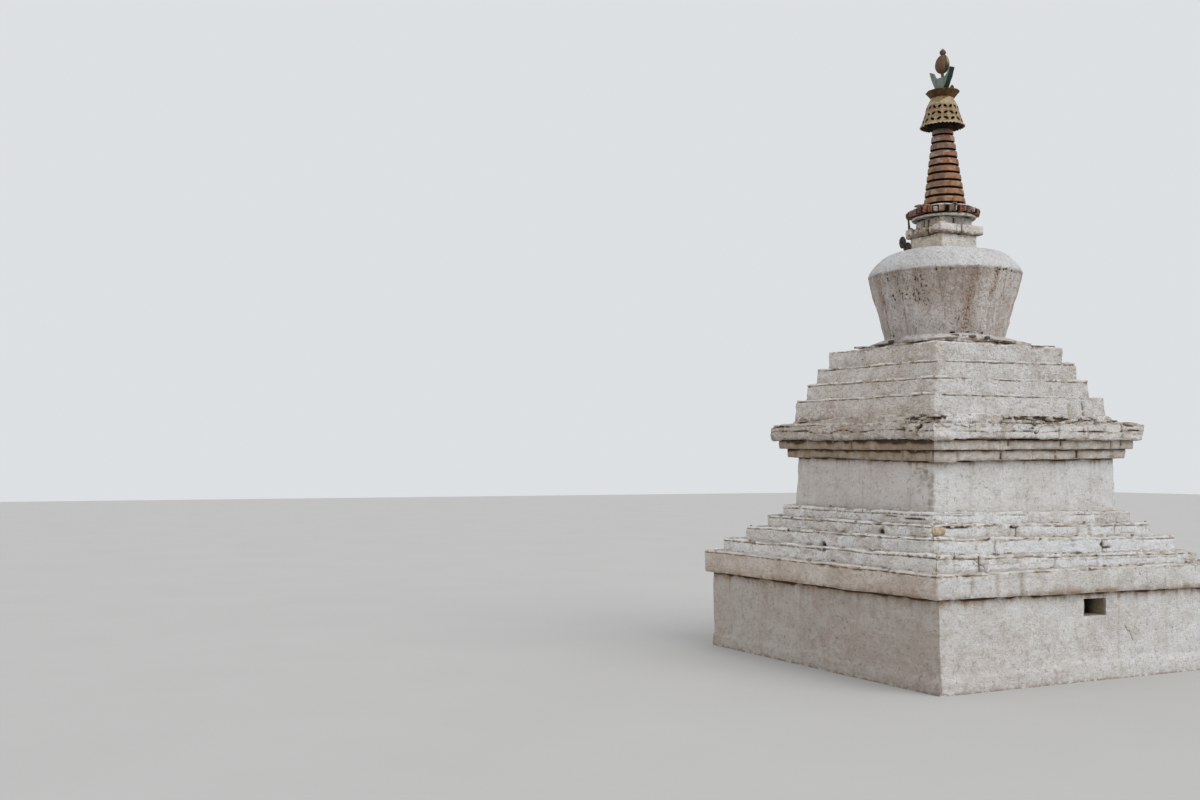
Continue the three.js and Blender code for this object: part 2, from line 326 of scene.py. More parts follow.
def square_columns(half, step, corner, extra=()):
    """Places round a unit square, anticlockwise from the near corner: x, y and the run along it.
    Each side has close points at its corners and extra points on the +X side."""
    ends = [0.0, corner * 0.3, corner * 0.65, corner]
    inner = np.linspace(corner, 2 * half - corner, max(2, int((2 * half - 2 * corner) / step)))
    marks = sorted(set(ends[:-1]) | set(inner.tolist()) | {2 * half - e for e in ends[1:]})
    marks = np.array(marks)
    x, y, run = [], [], []
    for side in range(4):
        m = marks
        if side == 0 and extra:
            keep = np.ones(len(marks), bool)
            for e in extra:
                keep &= np.abs(marks - e) > step * 0.45
            m = np.sort(np.concatenate([marks[keep], extra]))
        f = m / half - 1
        one = np.ones(len(f))
        ux, uy = [(one, f), (-f, one), (-one, -f), (f, -one)][side]
        x.append(ux)
        y.append(uy)
        run.append(m + side * 2 * half)
    return np.concatenate(x), np.concatenate(y), np.concatenate(run)


def square_rows(x, y, halves, heights, corner):
    """Rows of points round squares with rounded corners, and their outward directions."""
    halves = np.asarray(halves)[:, None]
    px, py = x * halves, y * halves
    inner = halves - corner
    qx = np.clip(np.abs(px) - inner, 0, None)
    qy = np.clip(np.abs(py) - inner, 0, None)
    length = np.maximum(np.hypot(qx, qy), 1e-9)
    arc = (qx > 0) & (qy > 0)
    ox = np.where(arc, np.sign(px) * qx / length, np.where(qx > 0, np.sign(px), 0))
    oy = np.where(arc, np.sign(py) * qy / length, np.where(qy > 0, np.sign(py), 0))
    px = np.where(arc, np.sign(px) * (inner + corner * qx / length), px)
    py = np.where(arc, np.sign(py) * (inner + corner * qy / length), py)
    rows = np.stack([px, py, np.repeat(np.asarray(heights)[:, None], len(x), axis=1)], -1)
    return rows, ox, oy


def course_profile(z0, z1, foot, top, under, above, step, lip, extra=()):
    """From the foot up: half-width, height, outward and upward share of the direction out."""
    turn = [math.radians(a) for a in (0, 30, 60, 90)]
    rows = []
    if under is None:
        if z0 > 0:
            rows.append((foot, z0 - 0.03, 1.0, 0.0))
        low = z0
    else:
        n = max(2, int((foot - lip - under + 0.03) / step) + 1)
        rows += [(h, z0, 0.0, -1.0) for h in np.linspace(under - 0.03, foot - lip, n)[:-1]]
        rows += [
            (foot - lip + lip * math.sin(a), z0 + lip - lip * math.cos(a), math.sin(a), -math.cos(a))
            for a in turn[:-1]]
        low = z0 + lip
    n = max(2, int((z1 - lip - low) / step) + 1)
    heights = np.linspace(low, z1 - lip, n)
    if extra:
        extra = [e for e in extra if low < e < z1 - lip]
        keep = np.all([np.abs(heights - e) > step * 0.25 for e in extra], axis=0)
        heights = np.sort(np.concatenate([heights[keep], extra]))
    rows += [(foot + (top - foot) * (z - z0) / (z1 - z0), z, 1.0, 0.0) for z in heights]
    rows += [
        (top - lip + lip * math.cos(a), z1 - lip + lip * math.sin(a), math.cos(a), math.sin(a))
        for a in turn[1:]]
    if above is None:
        rows.append((top - lip - 0.04, z1, 0.0, 1.0))
    else:
        n = max(2, int((top - lip - above + 0.04) / step) + 1)
        rows += [(h, z1, 0.0, 1.0) for h in np.linspace(top - lip, above - 0.04, n)[1:]]
    return np.array(rows)


def joint_run(run, total, mean, seed):
    """Which slab a place along the wall belongs to, and how far the nearest joint is."""
    rng = np.random.default_rng(seed)
    lengths = mean * (1 + 0.55 * rng.uniform(-1, 1, int(total / mean * 2) + 4))
    edges = np.cumsum(lengths)
    edges = edges[:np.searchsorted(edges, total) + 1]
    edges *= total / edges[-1]
    place = np.mod(run, total)
    slab = np.searchsorted(edges, place)
    slab = np.minimum(slab, len(edges) - 1)
    start = np.where(slab > 0, edges[slab - 1], 0.0)
    return slab, np.minimum(place - start, edges[slab] - place)


def random_bites(seed, half, z_top, count, depth=(0.008, 0.02), height=0.014, hollow=0.25):
    """Broken places along a course's top edge."""
    rng = np.random.default_rng(seed)
    bites = []
    for _ in range(count):
        side = rng.integers(4)
        along = rng.uniform(-half, half)
        wide = rng.uniform(0.03, 0.09)
        deep = rng.uniform(*depth)
        z = z_top + rng.uniform(-0.004, 0.004)
        centre = [(half, along), (along, half), (-half, along), (along, -half)][side]
        radii = (0.03, wide, height) if side in (0, 2) else (wide, 0.03, height)
        bites.append(((*centre, z), radii, deep, 0.7, hollow))
    return bites


def bitten(points, normals, bites, seed, marks):
    """Takes broken places out of a surface and marks them bare or hollow."""
    bare, hollow = marks["bare"], marks["cavity"]
    grain = rough_noise(points, 0.03, seed + 5, 2)
    for centre, radii, depth, is_bare, is_hollow in bites:
        away = points - np.array(centre)
        # The leaning walls lie a little off the true square, so depth counts for less.
        away -= 0.65 * normals * (away * normals).sum(1, keepdims=True)
        near = np.sqrt(((away / np.array(radii)) ** 2).sum(1))
        hit = near < 2.0
        if not hit.any():
            continue
        share = smooth(1.25 - near[hit] + 0.35 * grain[hit], 0.0, 0.55)
        points[hit] -= normals[hit] * (share * depth)[:, None]
        bare[hit] = np.maximum(bare[hit], share * is_bare)
        hollow[hit] = np.maximum(hollow[hit], share * is_hollow)


def line_distance(spots, line):
    """How far each spot is from a line of joined stretches."""
    far = np.full(len(spots), np.inf)
    for a, b in zip(line[:-1], line[1:]):
        t = np.clip(((spots - a) @ (b - a)) / ((b - a) @ (b - a)), 0, 1)
        far = np.minimum(far, np.linalg.norm(spots - a - t[:, None] * (b - a), axis=1))
    return far


def known_joint(nominal, normals, place, seed, side, along, wide, openness):
    """How deep in a chipped joint at a known place each point is, and how close beside it."""
    outward = on_side(side, 1, 0)
    facing = normals[:, 0] * outward[0] + normals[:, 1] * outward[1] > 0.6
    across = nominal[:, 1] if side in (0, 2) else nominal[:, 0]
    bend = along + 0.008 * noise(place, 0.07, seed + 24)
    spread = wide * (1 + 0.7 * noise(place, 0.035, seed + 25))
    open_part = smooth(rough_noise(place, (0.3, 0.3, 0.028), seed + 30, 2), -0.50 - openness, 0.20 - openness)
    slit = np.exp(-((across - bend) / np.maximum(spread, 0.003)) ** 2) * facing * open_part
    return slit, np.exp(-((across - bend) / (2.5 * wide)) ** 2) * facing * open_part


def mark_places(marks, nominal, normals, place, seed, slabs, stains):
    """Marks lime-white stones in the +X side, with brown joints round them, and brown stains."""
    for left, right, bottom, upper in slabs:
        inside = np.minimum(np.minimum(nominal[:, 1] - left, right - nominal[:, 1]),
                            np.minimum(nominal[:, 2] - bottom, upper - nominal[:, 2]))
        inside = inside + 0.009 * rough_noise(place, 0.06, seed + 37, 2)
        facing = normals[:, 0] > 0.6
        marks["slab"] = np.maximum(marks["slab"], smooth(inside, -0.002, 0.007) * facing)
        shown = smooth(rough_noise(place, 0.11, seed + 38, 2), -0.35, 0.35)
        joint = np.exp(-(inside / 0.008) ** 2) * facing * shown
        marks["seam"] = np.maximum(marks["seam"], 0.45 * joint)
    for spot, radii in stains:
        far = np.sqrt((((nominal - np.array(spot)) / np.array(radii)) ** 2).sum(1))
        far = far + 0.35 * rough_noise(place, 0.05, seed + 36, 2)
        marks["foot"] = np.maximum(marks["foot"], 0.6 * smooth(-far, -1.0, -0.35))


# How far apart the courses' stretches of the noise are, in metres per seed.
NOISE_STRIDE = 7.31


def course(node, foot, material, top=None, slot="whitewash", under=None, above=None, step=0.014, lip=0.012,
           corner=0.012, swell=0.006, rough=0.005, grit=0.003, wear=0.008, layers=None, slab=0.4,
           groove=0.010, shove=0.004, showing=0.5, cap=None, seed=3, bites=(), proud=None, hole=None,
           lean=True, side_rough=None, joints=(), chips=0.9, arris_wear=None, sag=0.0, crumbs=0, gape=0.0065,
           grime=0.0, rust=0.0, tall=False, crack=None, stones=None, shift=0.0, droop=None, shaded_side_shadow_reach=1.0,
           stains=(), slabs=()):
    """One square course of masonry, with its worn edges, joints, slabs and broken places.

    foot, top, under and above are half-widths in metres: its own at the foot and at the top, and those
    of the courses below and above it. step is the distance between points, lip and corner are radii.
    swell, rough and grit are depths of the relief, from wide to fine; wear is that of the edges.
    layers are the shares of the height at which slabs of the length slab meet, and cap is a closing
    bed's thickness and how far it stands out. joints, bites, slabs, stains and crack are places that
    the photograph shows.
    """
    low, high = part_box(node)
    z0, z1 = low.z, high.z
    top = top or foot
    extra_rows = [hole["z"][0], hole["z"][1]] if hole else []
    extra_columns = [hole["y"][0] + foot, hole["y"][1] + foot] if hole else []
    if cap:
        extra_rows += [z1 - cap[0] - 0.005 + e for e in (-0.009, -0.004, 0.001, 0.006)]
    if crack is not None:
        # Closer points round a crack in the +X side, which is given by its places along Y and Z.
        crack = np.array(crack)
        extra_rows += list(np.arange(crack[:, 1].min() - 0.02, crack[:, 1].max() + 0.02, 0.007))
        extra_columns += list(np.arange(crack[:, 0].min() - 0.02, crack[:, 0].max() + 0.02, 0.007) + foot)
    profile = course_profile(z0, z1, foot, top, under, above, step, lip, extra_rows)
    x, y, run = square_columns(foot, step, corner, extra_columns)
    rows, ox, oy = square_rows(x, y, profile[:, 0], profile[:, 1], corner)
    columns = len(x)
    count = len(profile)
    nr, nz = profile[:, 2:3], profile[:, 3:4]
    normals = np.stack([nr * ox, nr * oy, np.repeat(nz, columns, axis=1)], -1).reshape(-1, 3)
    points = rows.reshape(-1, 3)
    nominal = points.copy()
    z = points[:, 2]
    run_all = np.tile(run, count)
    arc = np.concatenate([[0], np.cumsum(np.hypot(np.diff(profile[:, 0]), np.diff(profile[:, 1])))])
    top_edge = arc[np.argmax(profile[:, 3] > 0.4)]
    from_top = np.repeat(np.abs(arc - top_edge), columns)
    side_rows = np.where(profile[:, 2] > 0.9)[0]
    from_foot = np.repeat(np.abs(arc - arc[side_rows[0]]), columns)
    to_corner = np.tile(foot * (1 - np.minimum(np.abs(x), np.abs(y))), count)
    is_tread = np.repeat(profile[:, 3] > 0.9, columns)
    is_under = np.repeat(profile[:, 3] < -0.9, columns)

    along_wall = np.stack([run_all, z * 0, z * 0], -1)
    flat = (~is_tread) & (~is_under)
    # The side that faces -Y, away from the key light; its paint is tinted as painted light and shade.
    north = (normals[:, 1] < -0.3) * 1.0
    # Each course has its own stretch of the noise.
    place = points + seed * NOISE_STRIDE
    out = swell * rough_noise(place, 0.7, seed, 2)
    strength = np.ones(len(points))
    if side_rough is not None:
        # More or less rough on the -Y side than elsewhere.
        strength += (side_rough - 1) * north
    out += strength * rough * rough_noise(place, (0.14, 0.14, 0.09), seed + 1, 2)
    out += strength * grit * rough_noise(place, 0.035, seed + 2, 2)
    cavity = np.zeros(len(points))
    bare = np.zeros(len(points))
    tone = np.zeros(len(points))
    seam = np.zeros(len(points))
    lip = np.exp(-(from_top / 0.018) ** 2) * np.repeat(profile[:, 3] > 0.3, columns)

    edge_noise = 0.5 + 0.5 * rough_noise(place, 0.09, seed + 3, 3)
    edge = np.exp(-from_top / 0.016)
    arris = np.exp(-to_corner / 0.022) * (1 - is_tread) * (1 - is_under)
    worn = np.maximum(wear * edge, (arris_wear or wear) * arris)
    out -= strength * (np.clip(edge_noise, 0, 1.4) - 0.35) * worn
    if under is not None:
        foot_edge = np.exp(-from_foot / 0.016)
        out -= wear * 0.8 * np.clip(0.5 + 0.5 * rough_noise(place, 0.07, seed + 4, 3), 0, 1.4) * foot_edge
    else:
        foot_edge = np.exp(-from_foot / 0.02)

    height = z1 - z0
    if layers is not None:
        # Layers of slabs: each slab stands out by its own amount, with grooves between.
        wobble = 0.10 * noise(along_wall, 0.22, seed + 6)
        share = np.clip((nominal[:, 2] - z0) / height, 0, 1)
        bounds = np.array(layers)
        level = np.searchsorted(bounds, np.clip(share + wobble, 0, 1))
        slab_out = np.zeros(len(points))
        joint = np.full(len(points), 9.0)
        for k in range(len(bounds) + 1):
            here = level == k
            which, gap = joint_run(
                run_all[here] + 0.012 * noise(place[here], 0.05, seed + 8), 8 * foot, slab, seed * 31 + k)
            number = hashed(which, which * 0 + k, which * 0, seed + 9)
            slab_out[here] = (number * 2 - 1) * shove
            tone[here] = hashed(which, which * 0 + k, which * 0, seed + 10) * 2 - 1
            joint[here] = gap
        seen = smooth(noise(place, 0.16, seed + 11), 0.35 - showing, 0.75 - showing)
        seen *= smooth(noise(place, 0.055, seed + 20), -0.55, 0.0)
        slit = np.exp(-(joint / (gape * (1 + 0.6 * noise(place, 0.05, seed + 21)))) ** 2)
        slit = slit * seen
        for bound in bounds:
            far = np.abs(share + wobble - bound) * height
            dashes = smooth(rough_noise(place, (0.07, 0.07, 0.2), seed + 35, 2), -0.25, 0.15)
            slit = np.maximum(slit, np.exp(-(far / 0.007) ** 2) * flat * dashes)
            seam = np.maximum(seam, 0.5 * np.exp(-(far / 0.008) ** 2) * flat)
        out += slab_out - groove * slit
        cavity = np.maximum(cavity, slit)
        by_joint = np.exp(-(joint / 0.03) ** 2) * seen * (noise(place, 0.05, seed + 12) > 0)
        bare = np.maximum(bare, 0.8 * by_joint)
    if cap:
        # A thin bed of flat stones closes the course: it stands out a little over a dark slit, which
        # is more open on the -Y side.
        thick, stand = cap
        share = (z1 - nominal[:, 2] + 0.003 * noise(along_wall, 0.18, seed + 13))
        which, gap = joint_run(run_all, 8 * foot, 0.17, seed * 13 + 5)
        number = hashed(which, which * 0, which * 0, seed + 14)
        on_cap = smooth(-share, -thick - 0.003, -thick + 0.003)
        seen = smooth(noise(along_wall, 0.30, seed + 15), -0.45, 0.25)
        seen = np.maximum(seen, 0.85 * north)
        out += on_cap * stand * (number * 1.3 + 0.2) * (0.35 + 0.65 * seen)
        dashes = smooth(rough_noise(place, (0.05, 0.05, 0.2), seed + 22, 2), -0.40, 0.15)
        slit = np.exp(-((share - thick - 0.005) / 0.0065) ** 2) * (~is_tread)
        out -= 0.006 * slit * (0.2 + 0.8 * seen * dashes)
        # Painted shadow along the slit under the bed of stones, a little stronger on the shaded -Y side.
        seam = slit * (0.30 + 0.70 * seen) * (0.45 + 0.55 * dashes) * (0.72 + 0.13 * north)
        lip = np.maximum(lip, 0.6 * on_cap) * (0.55 + 0.45 * north)
        notch = np.exp(-(gap / 0.005) ** 2) * on_cap * (number > 0.5) * seen
        out -= 0.006 * notch
        cavity = np.maximum(cavity, 0.6 * notch)
    if proud:
        # The foot of the wall stands a little proud, with an uneven upper edge.
        line = proud[0] + 0.02 * noise(along_wall, 0.5, seed + 16)
        line = line + 0.012 * rough_noise(place, 0.11, seed + 23, 2)
        line = line + 0.03 * smooth(nominal[:, 1], -0.35, -0.30) * (nominal[:, 0] > foot * 0.9)
        out += proud[1] * smooth(line - nominal[:, 2], -0.006, 0.012)
    for side, along, wide, deep, *dark in joints:
        # A chipped joint at a known place.
        slit, beside = known_joint(nominal, normals, place, seed, side, along, wide, 0.55 * bool(dark))
        out -= deep * slit
        cavity = np.maximum(cavity, (dark[0] if dark else 0.7) * slit)
        bare = np.maximum(bare, 0.7 * beside)
    if crack is not None:
        spot = nominal[:, 1:] + 0.004 * np.stack([noise(place, 0.02, seed + 33),
                                                  noise(place, 0.02, seed + 34)], -1)
        slit = np.exp(-(line_distance(spot, crack) / 0.0055) ** 2) * (normals[:, 0] > 0.6)
        out -= 0.006 * slit
        cavity = np.maximum(cavity, 0.8 * slit)
    if chips:
        # Small chips out of the edges, and a few out of the faces.
        near_edge = np.exp(-(from_top / 0.024) ** 2)
        if under is not None:
            near_edge = np.maximum(near_edge, 0.8 * np.exp(-(from_foot / 0.02) ** 2))
        field = rough_noise(place, (0.042, 0.042, 0.030), seed + 26, 2)
        where = smooth(noise(place, 0.28, seed + 27), -0.5, 0.4)
        chip = smooth(field + 0.35 * near_edge * where, 0.62, 0.90) * (0.25 + 0.75 * near_edge)
        out -= 0.010 * chips * chip
        bare = np.maximum(bare, chips * chip)
        cavity = np.maximum(cavity, 0.75 * chips * chip * smooth(noise(place, 0.035, seed + 28), -0.2, 0.3))

    # Treads carry crumbs of plaster and stone.
    out += is_tread * 0.006 * smooth(rough_noise(place, 0.06, seed + 18, 2), 0.1, 0.9)
    points = points + normals * out[:, None]
    if sag:
        wander = sag * noise(along_wall, 0.33, seed + 29)
        points[:, 2] += wander * np.clip((nominal[:, 2] - z0) / height, 0, 1)
    if droop:
        # The slab at the near end of the +X side hangs a little lower.
        hangs = smooth(droop[0] - nominal[:, 1], 0.0, 0.02) * (nominal[:, 0] > foot * 0.945)
        points[:, 2] -= droop[1] * hangs * (1 - np.clip((nominal[:, 2] - z0) / height, 0, 1))
    if lean:
        points = leaned(points, foot, None if tall else z1)
    # Painted shadow with dirt under an overhanging course: it reaches further and is darker on the shaded -Y
    # side.
    reach = max(grime, 1e-6) * (1 + (shaded_side_shadow_reach - 1) * north)
    drips = 0.82 + 0.30 * rough_noise(along_wall, 0.10, seed + 31, 2)
    shadow_and_grime_field = np.exp(-from_top / reach) * flat * drips
    shadow_and_grime_field *= 1 + 0.2 * north
    stretches = smooth(rough_noise(along_wall, 0.5, seed + 32, 2), -0.5, 0.7)
    rust_field = np.exp(-from_foot / 0.045) * flat * stretches
    marks = {"cavity": cavity, "bare": bare, "tone": tone, "seam": seam, "lip": lip, "north": north,
             "grime": shadow_and_grime_field if grime else shadow_and_grime_field * 0, "rust": rust * rust_field,
             "edge": np.clip(np.maximum(edge, 0.7 * arris) * (0.4 + 0.6 * edge_noise), 0, 1),
             # Painted shade with brown dirt on undersides and along the lower edge of a course that stands
             # out over the one below.
             "under": np.clip(is_under * 1.0 + (under is not None) * foot_edge * 0.8, 0, 1),
             "foot": foot_edge * (under is None) * (~is_tread),
             "tread": is_tread * np.clip((from_top - 0.012) / 0.05, 0, 1)}
    marks["slab"] = np.zeros(len(points))
    mark_places(marks, nominal, normals, place, seed, slabs, stains)
    bitten(points, normals, list(bites), seed, marks)
    shape = skin(points.reshape(count, columns, 3), **marks)
    if hole:
        shape = with_recess(shape, profile, run, foot, hole, columns)
    if crumbs:
        shape = join_all([shape, *fallen(crumbs, top, above, z1, seed)])
    if stones:
        shape = join_all([shape, *stones])
    return make(node + "_dressed", aside(shape, shift), material, [node])


def fallen(count, top, above, z, seed):
    """Crumbs of stone and plaster that lie on a tread."""
    rng = np.random.default_rng(seed + 900)
    shapes = []
    for _ in range(count):
        side = rng.integers(4)
        along = rng.uniform(-0.98, 0.98) * top
        reach = rng.uniform(above + 0.012, top - 0.022)
        x, y = [(reach, along), (along, reach), (-reach, along), (along, -reach)][side]
        size = rng.uniform(0.012, 0.030) * np.array([rng.uniform(1.0, 1.9), rng.uniform(0.8, 1.3),
                                                     rng.uniform(0.6, 1.0)])
        crumb = block(size, (x, y, z + size[2] * 0.35), rng.uniform(0, math.pi), size.min() * 0.38,
                      int(rng.integers(900)), rough=0.002, cuts=3 if size.max() > 0.04 else 1)
        crumb.points = leaned(crumb.points, top, z)
        crumb.mark(bare=1.0 if rng.uniform() < 0.6 else 0.0)
        shapes.append(crumb)
    return shapes


def with_recess(shape, profile, run, half, hole, columns):
    """Opens a blind square hole in the +X side and lines it."""
    row_low = int(np.argmin(np.abs(profile[:, 1] - hole["z"][0]) + (profile[:, 2] < 0.9)))
    row_high = int(np.argmin(np.abs(profile[:, 1] - hole["z"][1]) + (profile[:, 2] < 0.9)))
    left = int(np.argmin(np.abs(run - (hole["y"][0] + half))))
    right = int(np.argmin(np.abs(run - (hole["y"][1] + half))))
    row = shape.quads[:, 0] // columns
    column = shape.quads[:, 0] % columns
    inside = (row >= row_low) & (row < row_high) & (column >= left) & (column < right)
    quads = shape.quads[~inside]
    loop = [(row_low, c) for c in range(left, right)]
    loop += [(r, right) for r in range(row_low, row_high)]
    loop += [(row_high, c) for c in range(right, left, -1)]
    loop += [(r, left) for r in range(row_high, row_low, -1)]
    index = np.array([r * columns + c for r, c in loop])
    front = shape.points[index]
    steps = 7
    rings = [index]
    points = [shape.points]
    total = len(shape.points)
    for k in range(1, steps + 1):
        ring = front.copy()
        ring[:, 0] -= hole["depth"] * k / steps
        ring += 0.006 * np.stack([noise(ring, 0.06, s) for s in (71, 72, 73)], -1)
        points.append(ring)
        rings.append(np.arange(total, total + len(ring)))
        total += len(ring)
    points.append(points[-1].mean(0, keepdims=True))
    last = rings[-1]
    tris = np.stack([last, np.roll(last, -1), np.full(len(last), total)], -1)
    added = total + 1 - len(shape.points)
    marks = {}
    # The lining is bare mud mortar, with painted shade that deepens inwards.
    inward = np.append(np.repeat(np.arange(1, steps + 1) / steps, len(index)), 1.0)
    lining = {"bare": np.ones(added), "cavity": np.clip(1.1 * inward - 0.30, 0, 0.9)}
    for key, values in shape.marks.items():
        marks[key] = np.concatenate([values, lining.get(key, np.zeros(added))])
    return Shape(np.concatenate(points), np.concatenate([quads, grid_quads(np.array(rings))]),
                 np.concatenate([shape.tris, tris]), **marks)


# ---------------------------------------------------------------- materials

class Paint:
    """A material whose base colour is laid layer over layer. A share of a layer is a number, a field
    of noise, the name of a mark, or a ramp: (field, low, high) and, where needed, its two ends."""

    def __init__(self, name, roughness=0.9, metallic=0.0, specular=0.25, shift=(0.0, 0.0, 0.0)):
        self.material = bpy.data.materials.new(name)
        self.material.use_nodes = True
        self.tree = self.material.node_tree
        self.shader = self.tree.nodes["Principled BSDF"]
        self.shader.inputs["Roughness"].default_value = roughness
        self.shader.inputs["Metallic"].default_value = metallic
        self.shader.inputs["Specular IOR Level"].default_value = specular
        self.coords = self.node("ShaderNodeTexCoord").outputs["Object"]
        self.shift = shift
        self.colour = None

    def node(self, kind, inputs=(), **settings):
        """A new node with its settings and its inputs."""
        made = self.tree.nodes.new(kind)
        for key, value in settings.items():
            setattr(made, key, value)
        for key, value in dict(inputs).items():
            self.wire(value, made.inputs[key])
        return made

    def wire(self, value, socket):
        """Links another node's output to a socket, or sets the socket's value."""
        if hasattr(value, "links"):
            self.tree.links.new(value, socket)
        elif isinstance(value, tuple) and len(value) == 3 and socket.type == "RGBA":
            socket.default_value = (*value, 1.0)
        else:
            socket.default_value = value

    def slanted(self, lengths, rising):
        """Coordinates for noise drawn out along a slope that rises or falls towards +X and +Y."""
        slope = math.radians(-35.3 if rising else 35.3)
        return self.node("ShaderNodeMapping", {
            "Vector": self.coords, "Rotation": (0.0, slope, math.radians(45)), "Scale": lengths,
            "Location": self.shift}, vector_type="TEXTURE").outputs["Vector"]

    def noise(self, scale, detail=3.0, rough=0.55, stretch=(1.0, 1.0, 1.0), shift=None, distort=0.0,
              vector=None):
        vector = vector or self.node("ShaderNodeMapping", {
            "Vector": self.coords, "Scale": stretch, "Location": shift or self.shift}).outputs["Vector"]
        return self.node("ShaderNodeTexNoise", {
            "Vector": vector, "Scale": scale, "Detail": detail, "Roughness": rough,
            "Distortion": distort}).outputs["Fac"]

    def field(self, value):
        """The socket or number that a share stands for."""
        if isinstance(value, str):
            return self.node("ShaderNodeAttribute", attribute_name=value).outputs["Fac"]
        return self.ramp(*value) if isinstance(value, tuple) else value

    def ramp(self, value, low, high, to_low=0.0, to_high=1.0):
        return self.node("ShaderNodeMapRange", {
            "Value": self.field(value), "From Min": low, "From Max": high, "To Min": to_low,
            "To Max": to_high},
            interpolation_type="SMOOTHSTEP").outputs["Result"]

    def math(self, operation, *values):
        """The values joined one after another by an operation."""
        total, *others = (self.field(value) for value in values)
        for value in others:
            total = self.node("ShaderNodeMath", {0: total, 1: value}, operation=operation).outputs[0]
        return total

    def mul(self, *values):
        return self.math("MULTIPLY", *values)

    def add(self, *values):
        return self.math("ADD", *values)

    def mix(self, share, a, b, blend="MIX"):
        return self.node("ShaderNodeMix", {0: self.field(share), 6: a, 7: b}, data_type="RGBA",
                         clamp_factor=True,
                         blend_type=blend).outputs[2]

    def lay(self, colour, *shares, blend="MIX"):
        """Lays a colour over those before it, as far as the product of its shares goes."""
        self.colour = self.mix(self.mul(*shares), self.colour, colour, blend)

    def axis(self, letter):
        return self.node("ShaderNodeSeparateXYZ", {0: self.coords}).outputs[letter]

    def done(self, relief, strength, distance):
        self.wire(self.colour, self.shader.inputs["Base Color"])
        bump = self.node("ShaderNodeBump", {"Strength": strength, "Distance": distance, "Height": relief})
        self.wire(bump.outputs["Normal"], self.shader.inputs["Normal"])
        return self.material


